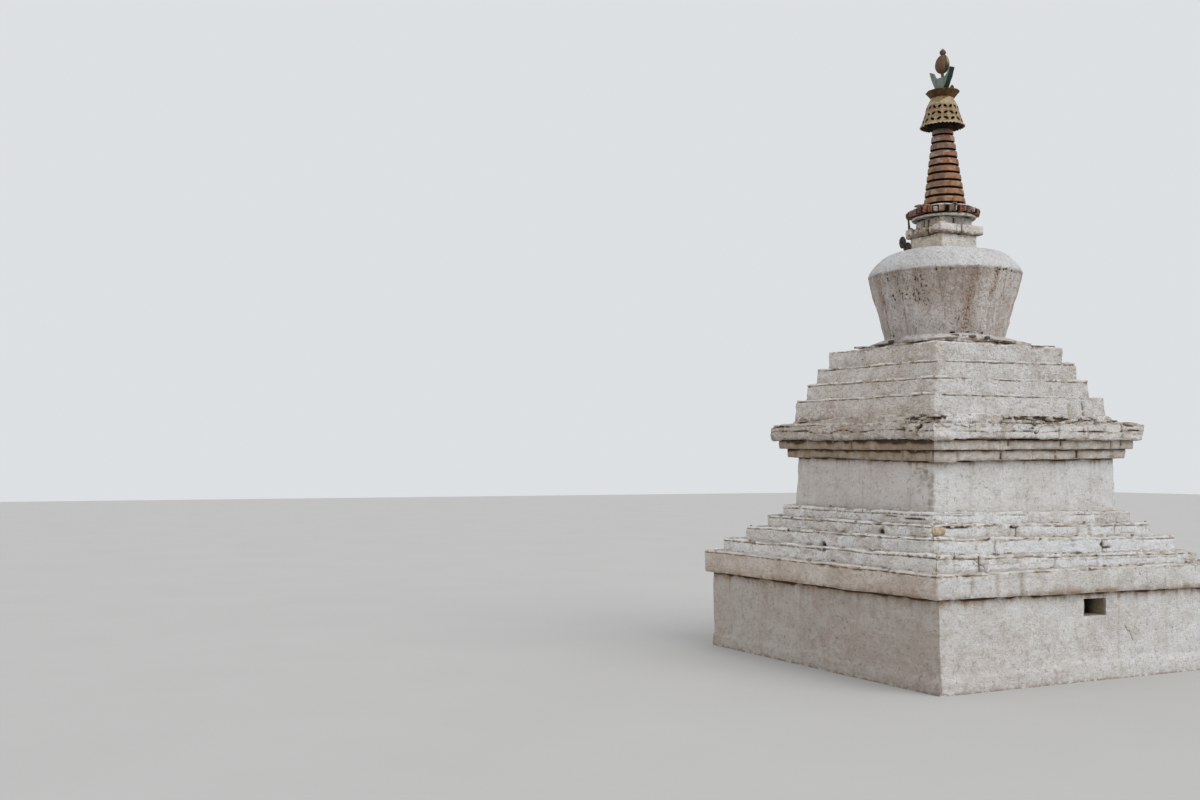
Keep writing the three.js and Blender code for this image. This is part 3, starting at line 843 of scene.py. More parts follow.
def limewash(name, white=(0.725, 0.71, 0.69), warm=(0.655, 0.615, 0.58), dirt=0.3, streaks=0.25, fresh=0.9,
             fresh_at=0.52, peel=0.68, edge=0.9, specks=0.9, scratches=0.2, shift=0.0,
             north=(0.84, 0.775, 0.72), strokes_shown=0.3, patches=3.6, cracks=0.5,
             slab_white=(0.80, 0.82, 0.835)):
    """Limewash over rough mud plaster: fresh and worn patches, drips, brown hollows and flecks, with painted
    light and shade.
    """
    p = Paint(name, roughness=0.95, specular=0.15, shift=(shift, shift * 0.7, shift * 1.3))
    wide = p.noise(1.5, 4, 0.6)
    patch = p.noise(patches, 6, 0.60, stretch=(1.0, 1.0, 1.9), distort=0.7)
    middle = p.noise(8.0, 6, 0.64, distort=0.4)
    dashes = p.noise(16.0, 3, 0.55, stretch=(1.0, 1.0, 1.8))
    fine = p.noise(46.0, 4, 0.68)
    grain = p.noise(27.0, 6, 0.76, distort=0.5)
    spots = p.noise(84.0, 2, 0.5, stretch=(1.0, 1.0, 1.6))
    lines = p.noise(1.0, 4, 0.6, stretch=(11.0, 11.0, 75.0))
    drips = p.noise(1.0, 4, 0.62, stretch=(12.0, 12.0, 0.9))
    # The brush left short slanting strokes.
    falling = p.noise(1.0, 3, 0.6, vector=p.slanted((0.075, 0.011, 0.011), False), distort=0.3)
    rising = p.noise(1.0, 3, 0.6, vector=p.slanted((0.060, 0.010, 0.010), True), distort=0.3)
    crease = p.add(p.mul((falling, 0.55, 0.63), (patch, 0.44, 0.54)),
                   p.mul((rising, 0.56, 0.64), (patch, 0.42, 0.52, 1.0, 0.0)))
    p.colour = white
    p.lay(warm, (wide, 0.40, 0.62))
    p.lay((0.835, 0.845, 0.855), (patch, fresh_at, fresh_at + 0.025), fresh)
    p.lay((0.43, 0.375, 0.325), (middle, 0.50, 0.66), dirt)
    p.lay((0.37, 0.285, 0.215), (drips, 0.52, 0.74), streaks)
    thin = p.add(p.mul(middle, 0.75), p.mul(fine, 0.25))
    p.lay((0.47, 0.39, 0.32), (thin, peel - 0.04, peel + 0.01), 0.8)
    # Brown dust stays in the hollows of the plaster, and lighter lime on its crests.
    p.lay((0.34, 0.275, 0.22), (grain, 0.36, 0.44, 1.0, 0.0), 0.7)
    p.lay((0.84, 0.83, 0.815), (grain, 0.56, 0.61), 0.5)
    p.lay((0.32, 0.25, 0.19), crease, strokes_shown)
    p.lay((0.33, 0.265, 0.21), (lines, 0.57, 0.66), scratches)
    clustered = p.ramp(p.add(p.mul(wide, 0.5), p.mul(dashes, 0.5)), 0.45, 0.56)
    # Thin wandering cracks, in clusters.
    wander = p.noise(9.0, 5, 0.62, distort=2.0)
    off_middle = p.node("ShaderNodeMath", {0: p.math("SUBTRACT", wander, 0.5)},
                        operation="ABSOLUTE").outputs[0]
    crack = p.ramp(off_middle, 0.002, 0.014, 1.0, 0.0)
    p.lay((0.24, 0.18, 0.13), crack, clustered, (patch, 0.47, 0.53, 1.0, 0.25), cracks)
    p.lay((0.185, 0.14, 0.105), (spots, 0.61, 0.67), clustered, specks)
    p.lay((0.46, 0.42, 0.38), ("tone", 0.1, 1.0), 0.15)
    p.lay((0.36, 0.29, 0.225), "tread", (middle, 0.36, 0.54), 0.85)
    # Brown dashes at the foot of a wall; the same mark carries brown stains, and painted shade under the
    # harmika's blocks.
    p.lay((0.27, 0.20, 0.14), "foot", (dashes, 0.40, 0.52), 0.8)
    p.lay((0.42, 0.30, 0.18), "rust", (middle, 0.34, 0.62, 0.35, 1.0))
    broken = p.ramp(p.add(p.mul(dashes, 0.55), p.mul(fine, 0.45)), 0.49, 0.54)
    p.lay((0.27, 0.195, 0.14), "edge", broken, edge)
    p.lay((0.84, 0.815, 0.785), "lip", (fine, 0.36, 0.46), 0.8)
    # Painted shade with brown dirt under what stands out, and along the lower part of the harmika band's
    # blocks.
    p.lay((0.24, 0.175, 0.125), "under", (middle, 0.35, 0.6), 0.7)
    p.lay(slab_white, "slab", (fine, 0.34, 0.44), (spots, 0.56, 0.64, 1.0, 0.3),
          (grain, 0.38, 0.46, 0.45, 0.85))
    # Painted light and shade: the side facing -Y is multiplied by its own tint, darker on some courses and
    # lighter on others.
    p.lay(north, "north", blend="MULTIPLY")
    # A brown seam with dark dots runs under a thin bed of stones: painted shadow under the stones, with dark
    # joints between layers and round lime-white stones.
    p.lay((0.30, 0.22, 0.155), ("seam", 0.12, 0.60), 0.8)
    p.lay((0.105, 0.075, 0.054), ("seam", 0.30, 0.75), (dashes, 0.50, 0.57), 0.85)
    # Painted shadow with soot-brown dirt under what stands out above, with drips below it.
    halo = p.mul(("grime", 0.05, 0.60), (p.add(p.mul(drips, 0.65), p.mul(fine, 0.35)), 0.34, 0.56), 0.85)
    runs = p.mul(("grime", 0.004, 0.30), (drips, 0.51, 0.64), (fine, 0.36, 0.50), 0.75)
    p.lay((0.36, 0.245, 0.15), runs)
    p.lay((0.37, 0.255, 0.155), halo)
    p.lay((0.095, 0.062, 0.036), ("grime", 0.45, 0.78))
    p.lay(p.mix((middle, 0.4, 0.6), (0.46, 0.37, 0.265), (0.30, 0.24, 0.18)), "bare", (fine, 0.30, 0.5))
    p.lay(p.mix((fine, 0.42, 0.58), (0.72, 0.59, 0.41), (0.50, 0.39, 0.27)), "tan")
    # Dark joints, with painted shade in chips, hollows, the recess and behind the harmika's blocks.
    p.lay(p.mix((fine, 0.38, 0.62), (0.060, 0.042, 0.030), (0.15, 0.105, 0.074)), ("cavity", 0.20, 0.75))
    relief = p.add(grain, p.mul(fine, 0.45), p.mul(lines, 0.3), p.mul(crease, -0.08),
                   p.mul(p.noise(11.0, 3, 0.5), 0.5))
    return p.done(relief, 0.9, 0.022)


def dome_paint():
    """The dome's plaster: a streaked, stained drum under a lighter shoulder."""
    p = Paint("dome_limewash", roughness=0.95, specular=0.15)
    z = p.axis("Z")
    crease = DOME_FOOT + DOME_CREASE
    wide = p.noise(1.8, 4, 0.6)
    middle = p.noise(9.0, 5, 0.6, distort=0.4)
    fine = p.noise(48.0, 4, 0.65)
    grain = p.noise(30.0, 5, 0.72, distort=0.5)
    spots = p.noise(80.0, 2, 0.55, stretch=(1.0, 1.0, 0.7))
    drips = p.noise(1.0, 4, 0.6, stretch=(26.0, 26.0, 1.6))
    threads = p.noise(1.0, 3, 0.6, stretch=(55.0, 55.0, 3.5), shift=(1.7, 2.9, 0.3))
    broad = p.noise(1.0, 3, 0.5, stretch=(5.0, 5.0, 0.8), shift=(3.1, 1.7, 0.4))
    drum = p.ramp(z, crease - 0.014, crease + 0.006, 1.0, 0.0)
    falling = p.noise(1.0, 3, 0.6, vector=p.slanted((0.080, 0.012, 0.012), False), distort=0.3)
    rising = p.noise(1.0, 3, 0.6, vector=p.slanted((0.060, 0.010, 0.010), True), distort=0.3)
    strokes = p.add(p.mul((falling, 0.54, 0.62), (middle, 0.44, 0.52)),
                    p.mul((rising, 0.57, 0.65), (middle, 0.42, 0.50, 1.0, 0.0)))
    p.colour = (0.705, 0.70, 0.70)
    p.lay((0.62, 0.605, 0.595), (wide, 0.42, 0.60))
    shade = p.mix((broad, 0.40, 0.62), (0.685, 0.632, 0.602), (0.56, 0.48, 0.437))
    p.lay(shade, drum)
    low = p.mul((z, DOME_FOOT, DOME_FOOT + 0.26, 1.0, 0.0), (middle, 0.35, 0.6))
    p.lay((0.58, 0.545, 0.52), low, 0.45)
    # Darker just under the crease.
    high = p.mul((z, crease - 0.20, crease - 0.02), (broad, 0.35, 0.60), drum)
    p.lay((0.35, 0.28, 0.235), high, 0.45)
    p.lay((0.29, 0.215, 0.165), (drips, 0.50, 0.66), (drum, 0.0, 1.0, 0.05, 0.50))
    p.lay((0.22, 0.165, 0.125), (threads, 0.55, 0.68), (drum, 0.0, 1.0, 0.0, 0.22))
    p.lay((0.31, 0.255, 0.21), (grain, 0.36, 0.45, 1.0, 0.0), (drum, 0.0, 1.0, 0.50, 0.65))
    p.lay((0.74, 0.715, 0.69), (grain, 0.56, 0.62), 0.40)
    p.lay((0.33, 0.265, 0.215), strokes, (drum, 0.0, 1.0, 0.30, 0.45))
    speckle = p.ramp(p.add(p.mul(drips, 0.35), p.mul(grain, 0.40), p.mul(fine, 0.25)), 0.42, 0.56, 1.0, 0.25)
    p.lay((0.30, 0.185, 0.105), "stain", speckle, 0.95)
    p.lay((0.15, 0.095, 0.06), "stain", (spots, 0.53, 0.60), 0.8)
    p.lay((0.17, 0.125, 0.095), (spots, 0.61, 0.67), (drum, 0.0, 1.0, 0.5, 0.75))
    p.lay((0.33, 0.265, 0.215), (middle, 0.56, 0.72), (drum, 0.0, 1.0, 0.25, 0.35))
    p.lay((0.14, 0.10, 0.075), "edge", (fine, 0.36, 0.54))
    # Painted shade with dirt in the pits and slits.
    p.lay((0.065, 0.047, 0.035), ("cavity", 0.20, 0.70))
    relief = p.add(grain, p.mul(fine, 0.5), p.mul(strokes, -0.10), p.mul(p.noise(13.0, 3, 0.5), 0.5))
    return p.done(relief, 0.9, 0.024)


def simple_paint(name, colours, sizes, roughness, stretch=(1.0, 1.0, 1.0)):
    """Layers of colour, each showing where its own noise is high, with painted shade in hollows."""
    p = Paint(name, roughness=roughness)
    p.colour = colours[0]
    relief = None
    for k, (tint, size) in enumerate(zip(colours[1:], sizes)):
        field = p.noise(size, 5, 0.62, stretch=stretch, shift=(k * 2.3, k * 1.1, k * 0.7))
        p.lay(tint, (field, 0.42, 0.62))
        relief = field if relief is None else p.add(relief, field)
    # Painted shade where the cavity mark is.
    p.lay((0.03, 0.024, 0.02), ("cavity", 0.25, 0.8))
    grain = p.noise(sizes[-1] * 2, 5, 0.65)
    return p.done(p.add(p.mul(relief, 0.5), grain), 0.5, 0.004)


LIME = limewash("limewash_wall", dirt=0.35, fresh=0.35, specks=0.40, strokes_shown=0.15, cracks=0.25)
LIME_LEDGE = limewash("limewash_ledge", white=(0.71, 0.695, 0.675), warm=(0.645, 0.605, 0.57), fresh=0.45,
                      edge=0.45, specks=0.55, scratches=0.35, shift=2.3, north=(1.04, 0.94, 0.86),
                      strokes_shown=0.2)
LIME_STEP = limewash("limewash_steps", white=(0.755, 0.735, 0.71), warm=(0.695, 0.655, 0.62), dirt=0.22,
                     fresh_at=0.49, edge=0.5, scratches=0.45, shift=5.1, north=(1.22, 1.20, 1.18),
                     patches=2.7, cracks=0.9)
LIME_PLAIN = limewash("limewash_throne", white=(0.765, 0.755, 0.745), warm=(0.71, 0.69, 0.665), dirt=0.2,
                      streaks=0.30, fresh=0.3, peel=0.74, edge=0.5, specks=0.30, scratches=0.15, shift=9.7,
                      north=(1.06, 1.01, 0.965), strokes_shown=0.10, cracks=0.2)
LIME_BAND = limewash("limewash_bands", white=(0.74, 0.685, 0.64), warm=(0.67, 0.615, 0.56), streaks=0.30,
                     fresh=0.25, peel=0.72, edge=0.55, specks=0.45, shift=8.3, north=(0.76, 0.675, 0.59),
                     strokes_shown=0.10, cracks=0.4)
LIME_UPPER = limewash("limewash_upper", white=(0.695, 0.68, 0.665), warm=(0.635, 0.60, 0.565), dirt=0.4,
                      fresh=0.38, peel=0.67, edge=0.5, specks=1.0, scratches=0.6, shift=13.3,
                      north=(1.18, 1.125, 1.075), strokes_shown=0.55, cracks=0.9)
LIME_COPING = limewash("limewash_coping", white=(0.68, 0.66, 0.64), warm=(0.59, 0.54, 0.49), dirt=0.55,
                       fresh_at=0.50, peel=0.63, scratches=0.6, shift=17.9, north=(0.97, 0.885, 0.82),
                       strokes_shown=0.5, cracks=1.0, slab_white=(0.77, 0.735, 0.70))
HARMIKA = limewash("limewash_harmika", white=(0.88, 0.845, 0.81), warm=(0.78, 0.73, 0.68), dirt=0.45,
                   fresh=0.6, peel=0.63, specks=0.7, scratches=0.3, shift=21.3, north=(0.98, 0.89, 0.79))
DOME_PAINT = dome_paint()


def slate_paint():
    """Dark slates with brown dust, some of them splashed with lime."""
    p = Paint("dark_slates", roughness=0.9, specular=0.2)
    wide = p.noise(6.0, 4, 0.6)
    middle = p.noise(24.0, 5, 0.62)
    fine = p.noise(80.0, 4, 0.65)
    p.colour = (0.12, 0.085, 0.060)
    p.lay((0.23, 0.17, 0.12), (wide, 0.42, 0.60))
    p.lay((0.045, 0.032, 0.024), (middle, 0.46, 0.58), 0.85)
    p.lay((0.53, 0.485, 0.44), "lime", (middle, 0.36, 0.50))
    return p.done(p.add(middle, p.mul(fine, 0.5)), 0.6, 0.008)


SLATE = slate_paint()


# ---------------------------------------------------------------- the square courses

RUBBLE_BEDS = 3


def flat_stones(half, z0, tall, shown, seed, level):
    """Flat bare stones in beds, where they are shown: for each side the stretches along it."""
    rng = np.random.default_rng(seed)
    stones = []
    for side, stretches in shown.items():
        for start, end in stretches:
            for bed in range(RUBBLE_BEDS):
                at = start + rng.uniform(-0.05, 0.05)
                while at < end:
                    length = rng.uniform(0.05, 0.17)
                    thick = tall / RUBBLE_BEDS * rng.uniform(0.5, 1.0)
                    deep = rng.uniform(0.07, 0.12)
                    out = half + rng.uniform(-0.030, 0.014) - 0.014 * bed - deep / 2
                    along = at + length / 2
                    z = z0 + (bed + 0.5) * tall / RUBBLE_BEDS + rng.uniform(-0.007, 0.007)
                    at += length
                    if rng.uniform() < 0.22:
                        continue
                    place = on_side(side, out, along)
                    stone = block((deep, length * 0.9, thick), (*place, z),
                                  side * math.pi / 2 + rng.uniform(-0.25, 0.25), thick * 0.30,
                                  int(rng.integers(1000)), rough=0.009, tilt=rng.uniform(-0.14, 0.10))
                    axis = 1 - side % 2
                    stone.points[:, 2] += rng.uniform(-0.12, 0.12) * (stone.points[:, axis] - place[axis])
                    stone.points = leaned(stone.points, half, level)
                    limed = rng.uniform() < 0.55
                    stone.mark(bare=0.1 if limed else 1.0, tone=rng.uniform(-1, 1), north=1.0 * (side == 3))
                    # Painted shade on stones set further in.
                    inwards = half - 0.045 - np.abs(stone.points[:, side % 2])
                    stone.marks["cavity"] = 0.6 * smooth(inwards, 0.0, 0.02)
                    stones.append(stone)
    return stones


def corner_stone():
    """A bare tan stone set in the third lower step, by the near corner."""
    stone = block((0.10, 0.135, 0.085), (1.294, -1.242, 1.310), 0.12, 0.020, 5, rough=0.016, cuts=5)
    stone.points = leaned(stone.points, 1.322, 1.371)
    stone.marks["tan"] = smooth(stone.points[:, 2], 1.288, 1.300)
    # Painted shade on its lower part.
    stone.marks["cavity"] = 0.9 * smooth(-stone.points[:, 2], -1.298, -1.286)
    return stone


course("plinth", 1.727, LIME, step=0.0225, lip=0.006, corner=0.014, swell=0.007, rough=0.003, grit=0.0015,
       wear=0.006, proud=(0.135, 0.018), chips=0.0, arris_wear=0.012, grime=0.036, tall=True,
       hole={"y": (-0.022, 0.256), "z": (0.565, 0.717), "depth": 0.24},
       crack=[(0.495, 0.458), (0.520, 0.415), (0.548, 0.408), (0.572, 0.370), (0.590, 0.322)])
course("plinth_ledge", 1.793, LIME_LEDGE, under=1.727, above=1.634, step=0.0175, corner=0.014, swell=0.007,
       rough=0.0045, grit=0.002, wear=0.013, cap=(0.013, 0.002), seed=5, arris_wear=0.018, sag=0.004,
       crumbs=120, rust=0.9,
       bites=random_bites(51, 1.793, 1.001, 24) + [
           ((0.26, -1.793, 0.985), (0.07, 0.04, 0.010), 0.010, 1.0, 0.35),
           ((0.44, -1.793, 0.978), (0.10, 0.04, 0.012), 0.012, 1.0, 0.45),
           ((0.62, -1.793, 0.984), (0.05, 0.04, 0.008), 0.010, 1.0, 0.35),
           ((0.78, -1.793, 0.975), (0.08, 0.04, 0.013), 0.012, 1.0, 0.5),
           ((1.793, -1.74, 0.985), (0.04, 0.08, 0.007), 0.010, 0.9, 0.35),
           ((1.793, -1.38, 0.990), (0.04, 0.08, 0.010), 0.012, 1.0, 0.5)],
       joints=[
           (0, -1.40, 0.010, 0.001, 0.10), (0, -1.112, 0.008, 0.001, 0.08), (0, -0.836, 0.011, 0.001, 0.12)])
course("lower_step_1", 1.634, LIME_STEP, above=1.477, step=0.017, lip=0.014, corner=0.02, swell=0.008,
       rough=0.008, grit=0.004, wear=0.020, layers=[], slab=0.42, groove=0.007, shove=0.008, showing=-0.05,
       cap=(0.016, 0.003), seed=7, bites=random_bites(71, 1.634, 1.112, 26), chips=1.0, arris_wear=0.030,
       sag=0.007, crumbs=150, gape=0.005,
       joints=[
           (0, -0.259, 0.004, 0.008, 0.5), (0, 0.286, 0.005, 0.010, 0.55), (0, -1.165, 0.010, 0.014, 0.7)],
       crack=[(-1.215, 1.085), (-1.17, 1.058), (-1.135, 1.048), (-1.10, 1.020)],
       slabs=[
           (-1.437, -1.085, 1.011, 1.052), (-1.073, -0.676, 1.008, 1.049), (-0.436, -0.266, 1.004, 1.051),
           (-0.253, 0.057, 1.004, 1.070), (0.069, 0.70, 1.004, 1.064), (0.713, 1.375, 1.004, 1.066)])
# What the second and third of the lower steps share.
STEP = dict(corner=0.02, swell=0.007, rough=0.007, wear=0.016, layers=[], chips=1.0)
course("lower_step_2", 1.477, LIME_STEP, above=1.322, step=0.016, lip=0.014, slab=0.55, groove=0.006,
       shove=0.005, showing=0.0, cap=(0.016, 0.004), seed=9, joints=[(0, 0.52, 0.006, 0.012, 0.5)],
       arris_wear=0.032, sag=0.006, crumbs=120, gape=0.005, **STEP,
       bites=random_bites(91, 1.477, 1.257, 24) + [
           ((1.477, 0.53, 1.185), (0.03, 0.022, 0.018), 0.02, 0.6, 0.8),
           ((1.477, 0.59, 1.150), (0.03, 0.06, 0.010), 0.02, 0.8, 0.8),
           ((-0.10, -1.477, 1.140), (0.045, 0.03, 0.030), 0.03, 0.8, 0.8)],
       slabs=[
           (-1.424, -1.01, 1.117, 1.216), (-0.987, -0.792, 1.117, 1.223), (-0.78, -0.237, 1.117, 1.229),
           (-0.212, 0.501, 1.117, 1.233), (0.585, 1.445, 1.124, 1.243)])
course("lower_step_3", 1.322, LIME_STEP, above=1.203, step=0.0155, slab=0.42, groove=0.007, shove=0.006,
       showing=0.05, cap=(0.018, 0.004), seed=11, arris_wear=0.018, sag=0.006, crumbs=100, gape=0.006,
       stones=[corner_stone()], **STEP,
       bites=random_bites(111, 1.322, 1.371, 26) + [
           ((0.628, -1.322, 1.292), (0.04, 0.04, 0.034), 0.03, 0.8, 0.9),
           ((1.322, -1.28, 1.272), (0.05, 0.075, 0.016), 0.02, 0.6, 1.0),
           ((1.322, -1.06, 1.362), (0.04, 0.16, 0.010), 0.014, 1.0, 0.5),
           ((1.322, -0.36, 1.355), (0.04, 0.07, 0.014), 0.02, 1.0, 0.8)],
       joints=[
           (0, -0.353, 0.006, 0.012, 0.6), (0, 0.377, 0.005, 0.012, 0.6), (0, 0.534, 0.007, 0.014),
           (0, 0.847, 0.004, 0.008, 0.5)],
       slabs=[
           (-1.178, -0.696, 1.262, 1.345), (-0.247, 0.372, 1.275, 1.358), (0.559, 0.864, 1.278, 1.360),
           (0.877, 1.249, 1.284, 1.363)])
course("throne_curb", 1.203, LIME_STEP, above=1.100, step=0.015, corner=0.016, rough=0.006, grit=0.0025,
       wear=0.014, cap=(0.030, 0.004), seed=13, sag=0.004, crumbs=50,
       bites=random_bites(131, 1.203, 1.490, 20) + [
           ((0.93, -1.203, 1.432), (0.13, 0.03, 0.009), 0.016, 0.9, 1.0),
           ((0.62, -1.203, 1.440), (0.10, 0.03, 0.007), 0.012, 0.9, 0.6)])
course("throne_block", 1.100, LIME_PLAIN, top=1.096, step=0.018, lip=0.006, corner=0.010, rough=0.0025,
       grit=0.0015, wear=0.007, seed=15, chips=0.0, arris_wear=0.022, grime=0.024, tall=True,
       bites=[
           ((0.98, -1.12, 1.855), (0.03, 0.06, 0.018), 0.005, 0.7, 0.4),
           ((0.91, -1.12, 1.80), (0.014, 0.06, 0.022), 0.004, 0.6, 0.4),
           ((1.02, -1.12, 1.73), (0.02, 0.06, 0.014), 0.004, 0.6, 0.4),
           ((0.88, -1.12, 1.885), (0.05, 0.06, 0.010), 0.004, 0.6, 0.3)],
       stains=[
           ((0.98, -1.098, 1.83), (0.12, 0.05, 0.10)), ((1.06, -1.098, 1.76), (0.05, 0.05, 0.14)),
           ((0.90, -1.098, 1.70), (0.05, 0.05, 0.05)), ((1.05, -1.098, 1.58), (0.04, 0.05, 0.05)),
           ((0.82, -1.098, 1.86), (0.08, 0.05, 0.04))])
# What both bands of the cornice share.
BAND = dict(step=0.013, lip=0.008, corner=0.010, swell=0.004, rough=0.003, grit=0.0015, wear=0.009, layers=[],
            slab=0.5, groove=0.006, shove=0.003, showing=0.0, chips=0.7, arris_wear=0.012, gape=0.005,
            shaded_side_shadow_reach=2.7)
course("cornice_band_1", 1.174, LIME_BAND, under=1.096, seed=17, grime=0.013, droop=(-0.90, 0.016), **BAND,
       joints=[
           (0, -0.90, 0.009, 0.012, 0.55), (0, -0.388, 0.010, 0.020, 1.0), (0, 0.271, 0.010, 0.014, 0.7),
           (0, 0.554, 0.016, 0.024, 1.0), (0, 0.988, 0.013, 0.010, 0.5), (3, -0.29, 0.010, 0.016),
           (3, 0.742, 0.008, 0.014)])
course("cornice_band_2", 1.230, LIME_BAND, under=1.174, seed=19, grime=0.021, **BAND,
       joints=[
           (0, -0.36, 0.011, 0.014, 0.75), (0, 0.286, 0.011, 0.020, 1.0), (0, 0.931, 0.009, 0.012, 0.65),
           (0, 1.065, 0.010, 0.018, 1.0), (3, -0.264, 0.007, 0.014), (3, 0.027, 0.010, 0.016)])
course("cornice_coping", 1.291, LIME_COPING, under=1.230, above=1.095, step=0.013, lip=0.010, corner=0.014,
       rough=0.011, grit=0.0055, wear=0.022, layers=[0.52], slab=0.42, groove=0.012, shove=0.012,
       showing=0.15, seed=21, chips=1.0, arris_wear=0.026, sag=0.010, crumbs=90, gape=0.006,
       bites=random_bites(211, 1.291, 2.321, 90, depth=(0.012, 0.03), height=0.02, hollow=0.6) + [
           ((0.90, -1.291, 2.315), (0.09, 0.05, 0.034), 0.035, 0.8, 0.9),
           ((1.09, -1.291, 2.290), (0.05, 0.05, 0.045), 0.035, 0.8, 0.9),
           ((1.291, -1.12, 2.310), (0.05, 0.13, 0.010), 0.03, 0.5, 1.0),
           ((1.291, -0.29, 2.318), (0.05, 0.10, 0.014), 0.03, 0.8, 0.9),
           ((1.291, -0.06, 2.312), (0.07, 0.045, 0.034), 0.05, 0.6, 1.0),
           ((1.291, 0.22, 2.316), (0.07, 0.07, 0.026), 0.045, 0.6, 1.0),
           ((1.291, 0.62, 2.318), (0.05, 0.10, 0.012), 0.03, 0.8, 0.7),
           ((1.291, 1.14, 2.300), (0.05, 0.07, 0.014), 0.03, 0.6, 1.0)],
       joints=[
           (0, -0.862, 0.005, 0.010), (0, -0.11, 0.010, 0.022), (0, 0.501, 0.007, 0.014),
           (0, 1.014, 0.008, 0.020), (3, 0.877, 0.014, 0.03), (3, 1.069, 0.016, 0.03),
           (3, -0.194, 0.006, 0.012)],
       slabs=[
           (-1.28, -1.037, 2.180, 2.287), (-0.836, -0.526, 2.229, 2.282), (-1.021, -0.527, 2.176, 2.215),
           (-0.449, -0.136, 2.176, 2.240), (-0.111, 0.198, 2.176, 2.293), (0.223, 0.552, 2.176, 2.310),
           (0.575, 0.775, 2.236, 2.313), (0.799, 1.0, 2.238, 2.315), (1.022, 1.276, 2.239, 2.310),
           (0.59, 0.994, 2.176, 2.223), (1.02, 1.288, 2.176, 2.223)])
RUBBLE_SHOWN = {0: [(-0.34, 0.12), (0.20, 0.36), (0.50, 0.86), (1.00, 1.13)],
                3: [(-1.02, -0.90), (0.80, 1.12)], 1: [(-0.9, -0.5), (0.35, 0.8)], 2: [(-0.7, 0.0)]}
course("rubble_course", 1.122, LIME_COPING, top=1.096, slot="bare_stone", above=1.062, step=0.0135, lip=0.010,
       corner=0.02, swell=0.008, rough=0.010, grit=0.006, wear=0.020, seed=23, chips=0.8, sag=0.006,
       bites=[
           ((1.122, 0.28, 2.355), (0.05, 0.55, 0.030), 0.022, 0.5, 1.0),
           ((1.122, -1.05, 2.355), (0.05, 0.09, 0.026), 0.02, 0.5, 1.0),
           ((0.92, -1.122, 2.350), (0.20, 0.05, 0.030), 0.022, 0.5, 1.0),
           ((-0.96, -1.122, 2.350), (0.06, 0.05, 0.026), 0.02, 0.5, 1.0)],
       stones=flat_stones(1.146, 2.319, 0.066, RUBBLE_SHOWN, 231, 2.321))
# What the first three upper steps share.
UPPER = dict(lip=0.007, cap=(0.014, 0.007), arris_wear=0.014, sag=0.003)
course("upper_step_1", 1.076, LIME_UPPER, top=1.062, above=0.978, step=0.015, rough=0.006, seed=25,
       bites=random_bites(251, 1.062, 2.583, 30), joints=[(0, 0.58, 0.006, 0.009), (0, 0.77, 0.008, 0.012)],
       **UPPER)
course("upper_step_2", 0.986, LIME_UPPER, top=0.978, above=0.901, seed=27,
       bites=random_bites(271, 0.978, 2.745, 28), joints=[(0, 0.46, 0.006, 0.008)], chips=0.8, **UPPER)
course("upper_step_3", 0.908, LIME_UPPER, top=0.901, above=0.813, seed=29,
       bites=random_bites(291, 0.901, 2.913, 26), chips=0.8, **UPPER)
course("upper_step_4", 0.813, LIME_UPPER, above=0.640, lip=0.008, wear=0.010, seed=31,
       bites=random_bites(311, 0.813, 3.083, 26), arris_wear=0.014, sag=0.003)


# ---------------------------------------------------------------- the round body

